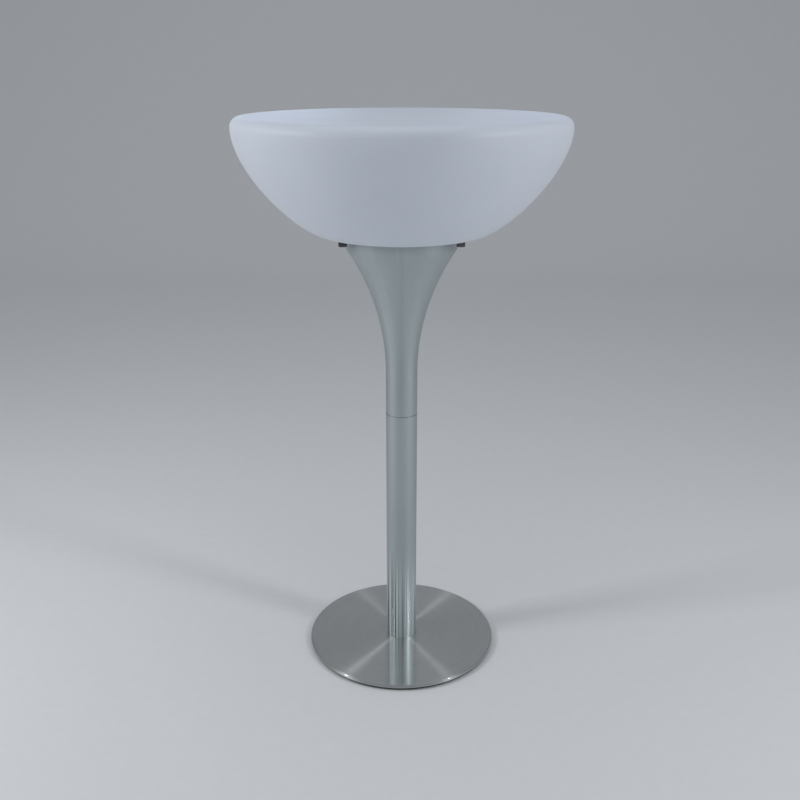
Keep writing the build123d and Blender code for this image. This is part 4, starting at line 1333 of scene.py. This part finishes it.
class BARTABLE_OT_stage(bpy.types.Operator):
    """Makes the floor, the backdrop, the lights and the camera"""

    bl_idname = "bartable.stage"
    bl_label = "Stage"

    def execute(self, context):
        studio = context.scene.bar_table_studio
        self.floor()
        strip_reach, strip_size = 2.6, (0.05, 0.9)
        cover = Vector((0, 0, COVER_HIGH.z * MM))
        for name, way, along, power in (
            ("right_strip", (0.70, -0.38, 0.606), (0.70, -1.215, -1.571), 0.84),
            ("left_strip", (-0.75, -0.22, 0.62), (-0.75, -1.055, -1.282), 1.13),
        ):
            place = cover + Vector(way) * strip_reach
            self.lamp(name, place, cover, strip_size, studio.side_light * power, along)
        top = self.lamp("top_softbox", (0, -0.1, 3.2), (0, 0, 0.9), (2.2, 2.2), studio.top_light)
        top.color = (0.90, 0.98, 1.14)
        for side, power in ((-1, 2.0), (1, 1.2)):
            place, aim = (side * 0.62, 2.0, 1.45), (side * 0.2, 0, BOWL_HIGH.z * MM)
            rim = self.lamp(f"rim_light_{side + 2}", place, aim, (0.75, 0.6), studio.rim_light * power)
            rim.spread = radians(34)
            rim.color = (0.78, 0.92, 1.22)
        world = context.scene.world or bpy.data.worlds.new("studio")
        context.scene.world = world
        world.use_nodes = True
        background = world.node_tree.nodes["Background"]
        background.inputs["Color"].default_value = (0.86, 0.89, 0.94, 1)
        background.inputs["Strength"].default_value = studio.sky
        lens = bpy.data.cameras.new("camera")
        lens.lens = studio.lens
        lens.sensor_width = 36.0
        camera = stand(lens, "camera")
        camera.location = (studio.aside, -studio.distance, studio.height)
        camera.rotation_euler = (pi / 2 - studio.pitch, 0, 0)
        context.scene.camera = camera
        context.scene.view_settings.view_transform = "Standard"
        return {"FINISHED"}

    def floor(self):
        """A paper floor that bends up to a backdrop, in metres."""
        pale = Finish("studio_paper")
        paper = pale.noise(pale.place, 40.0, 3.0)
        tone = pale.blend(paper, (0.82, 0.83, 0.84, 1), (0.86, 0.87, 0.88, 1))
        pale.set(base_color=tone, roughness=0.85)
        reach, behind, bend, top = 40.0, 3.5, 1.5, 5.0
        rows = [(-reach, 0.0)] + arc_points((behind, bend), bend, -90, 0, 24) + [(behind + bend, top)]
        mesh = bpy.data.meshes.new("floor")
        points = [(side * reach, y, z) for y, z in rows for side in (-1, 1)]
        faces = [(2 * i, 2 * i + 1, 2 * i + 3, 2 * i + 2) for i in range(len(rows) - 1)]
        mesh.from_pydata(points, [], faces)
        for face in mesh.polygons:
            face.use_smooth = True
        mesh.materials.append(pale.material)
        stand(mesh, "floor")

    def lamp(self, name, place, aim, size, power, along=(0, 0, 1)):
        """An area light whose longer side runs as close to a direction as its aim allows."""
        data = bpy.data.lights.new(name, "AREA")
        data.shape = "RECTANGLE"
        data.size, data.size_y = size
        data.energy = power
        back = (Vector(place) - Vector(aim)).normalized()
        side = Vector(along).cross(back).normalized()
        turn = Matrix((side, back.cross(side), back)).transposed()
        made = stand(data, name)
        made.matrix_world = Matrix.Translation(place) @ turn.to_4x4()
        made.visible_camera = False
        return data


class BARTABLE_PT_panel(bpy.types.Panel):
    """Lists the steps that dress the table"""

    bl_idname = "BARTABLE_PT_panel"
    bl_label = "Bar Table"
    bl_space_type = "VIEW_3D"
    bl_region_type = "UI"
    bl_category = "Bar Table"

    def draw(self, context):
        for name in GROUPS:
            group = getattr(context.scene, name)
            box = self.layout.box()
            for setting in group.__annotations__:
                box.prop(group, setting)
        for operator in STEPS:
            self.layout.operator(operator.bl_idname)


GROUPS = {
    "bar_table_sizes": TableSizes,
    "bar_table_finish": TableFinish,
    "bar_table_studio": StudioSettings,
}
STEPS = (
    BARTABLE_OT_finishes,
    BARTABLE_OT_base,
    BARTABLE_OT_column,
    BARTABLE_OT_joint,
    BARTABLE_OT_seat,
    BARTABLE_OT_bowl,
    BARTABLE_OT_ports,
    BARTABLE_OT_lights,
    BARTABLE_OT_inside,
    BARTABLE_OT_stage,
)


def register():
    for name, group in GROUPS.items():
        bpy.utils.register_class(group)
        setattr(bpy.types.Scene, name, PointerProperty(type=group))
    for operator in STEPS:
        bpy.utils.register_class(operator)
    bpy.utils.register_class(BARTABLE_PT_panel)


def unregister():
    bpy.utils.unregister_class(BARTABLE_PT_panel)
    for operator in reversed(STEPS):
        bpy.utils.unregister_class(operator)
    for name, group in GROUPS.items():
        delattr(bpy.types.Scene, name)
        bpy.utils.unregister_class(group)


def main():
    register()
    for operator in STEPS:
        group, call = operator.bl_idname.split(".")
        getattr(getattr(bpy.ops, group), call)()


if __name__ == "__main__":
    main()
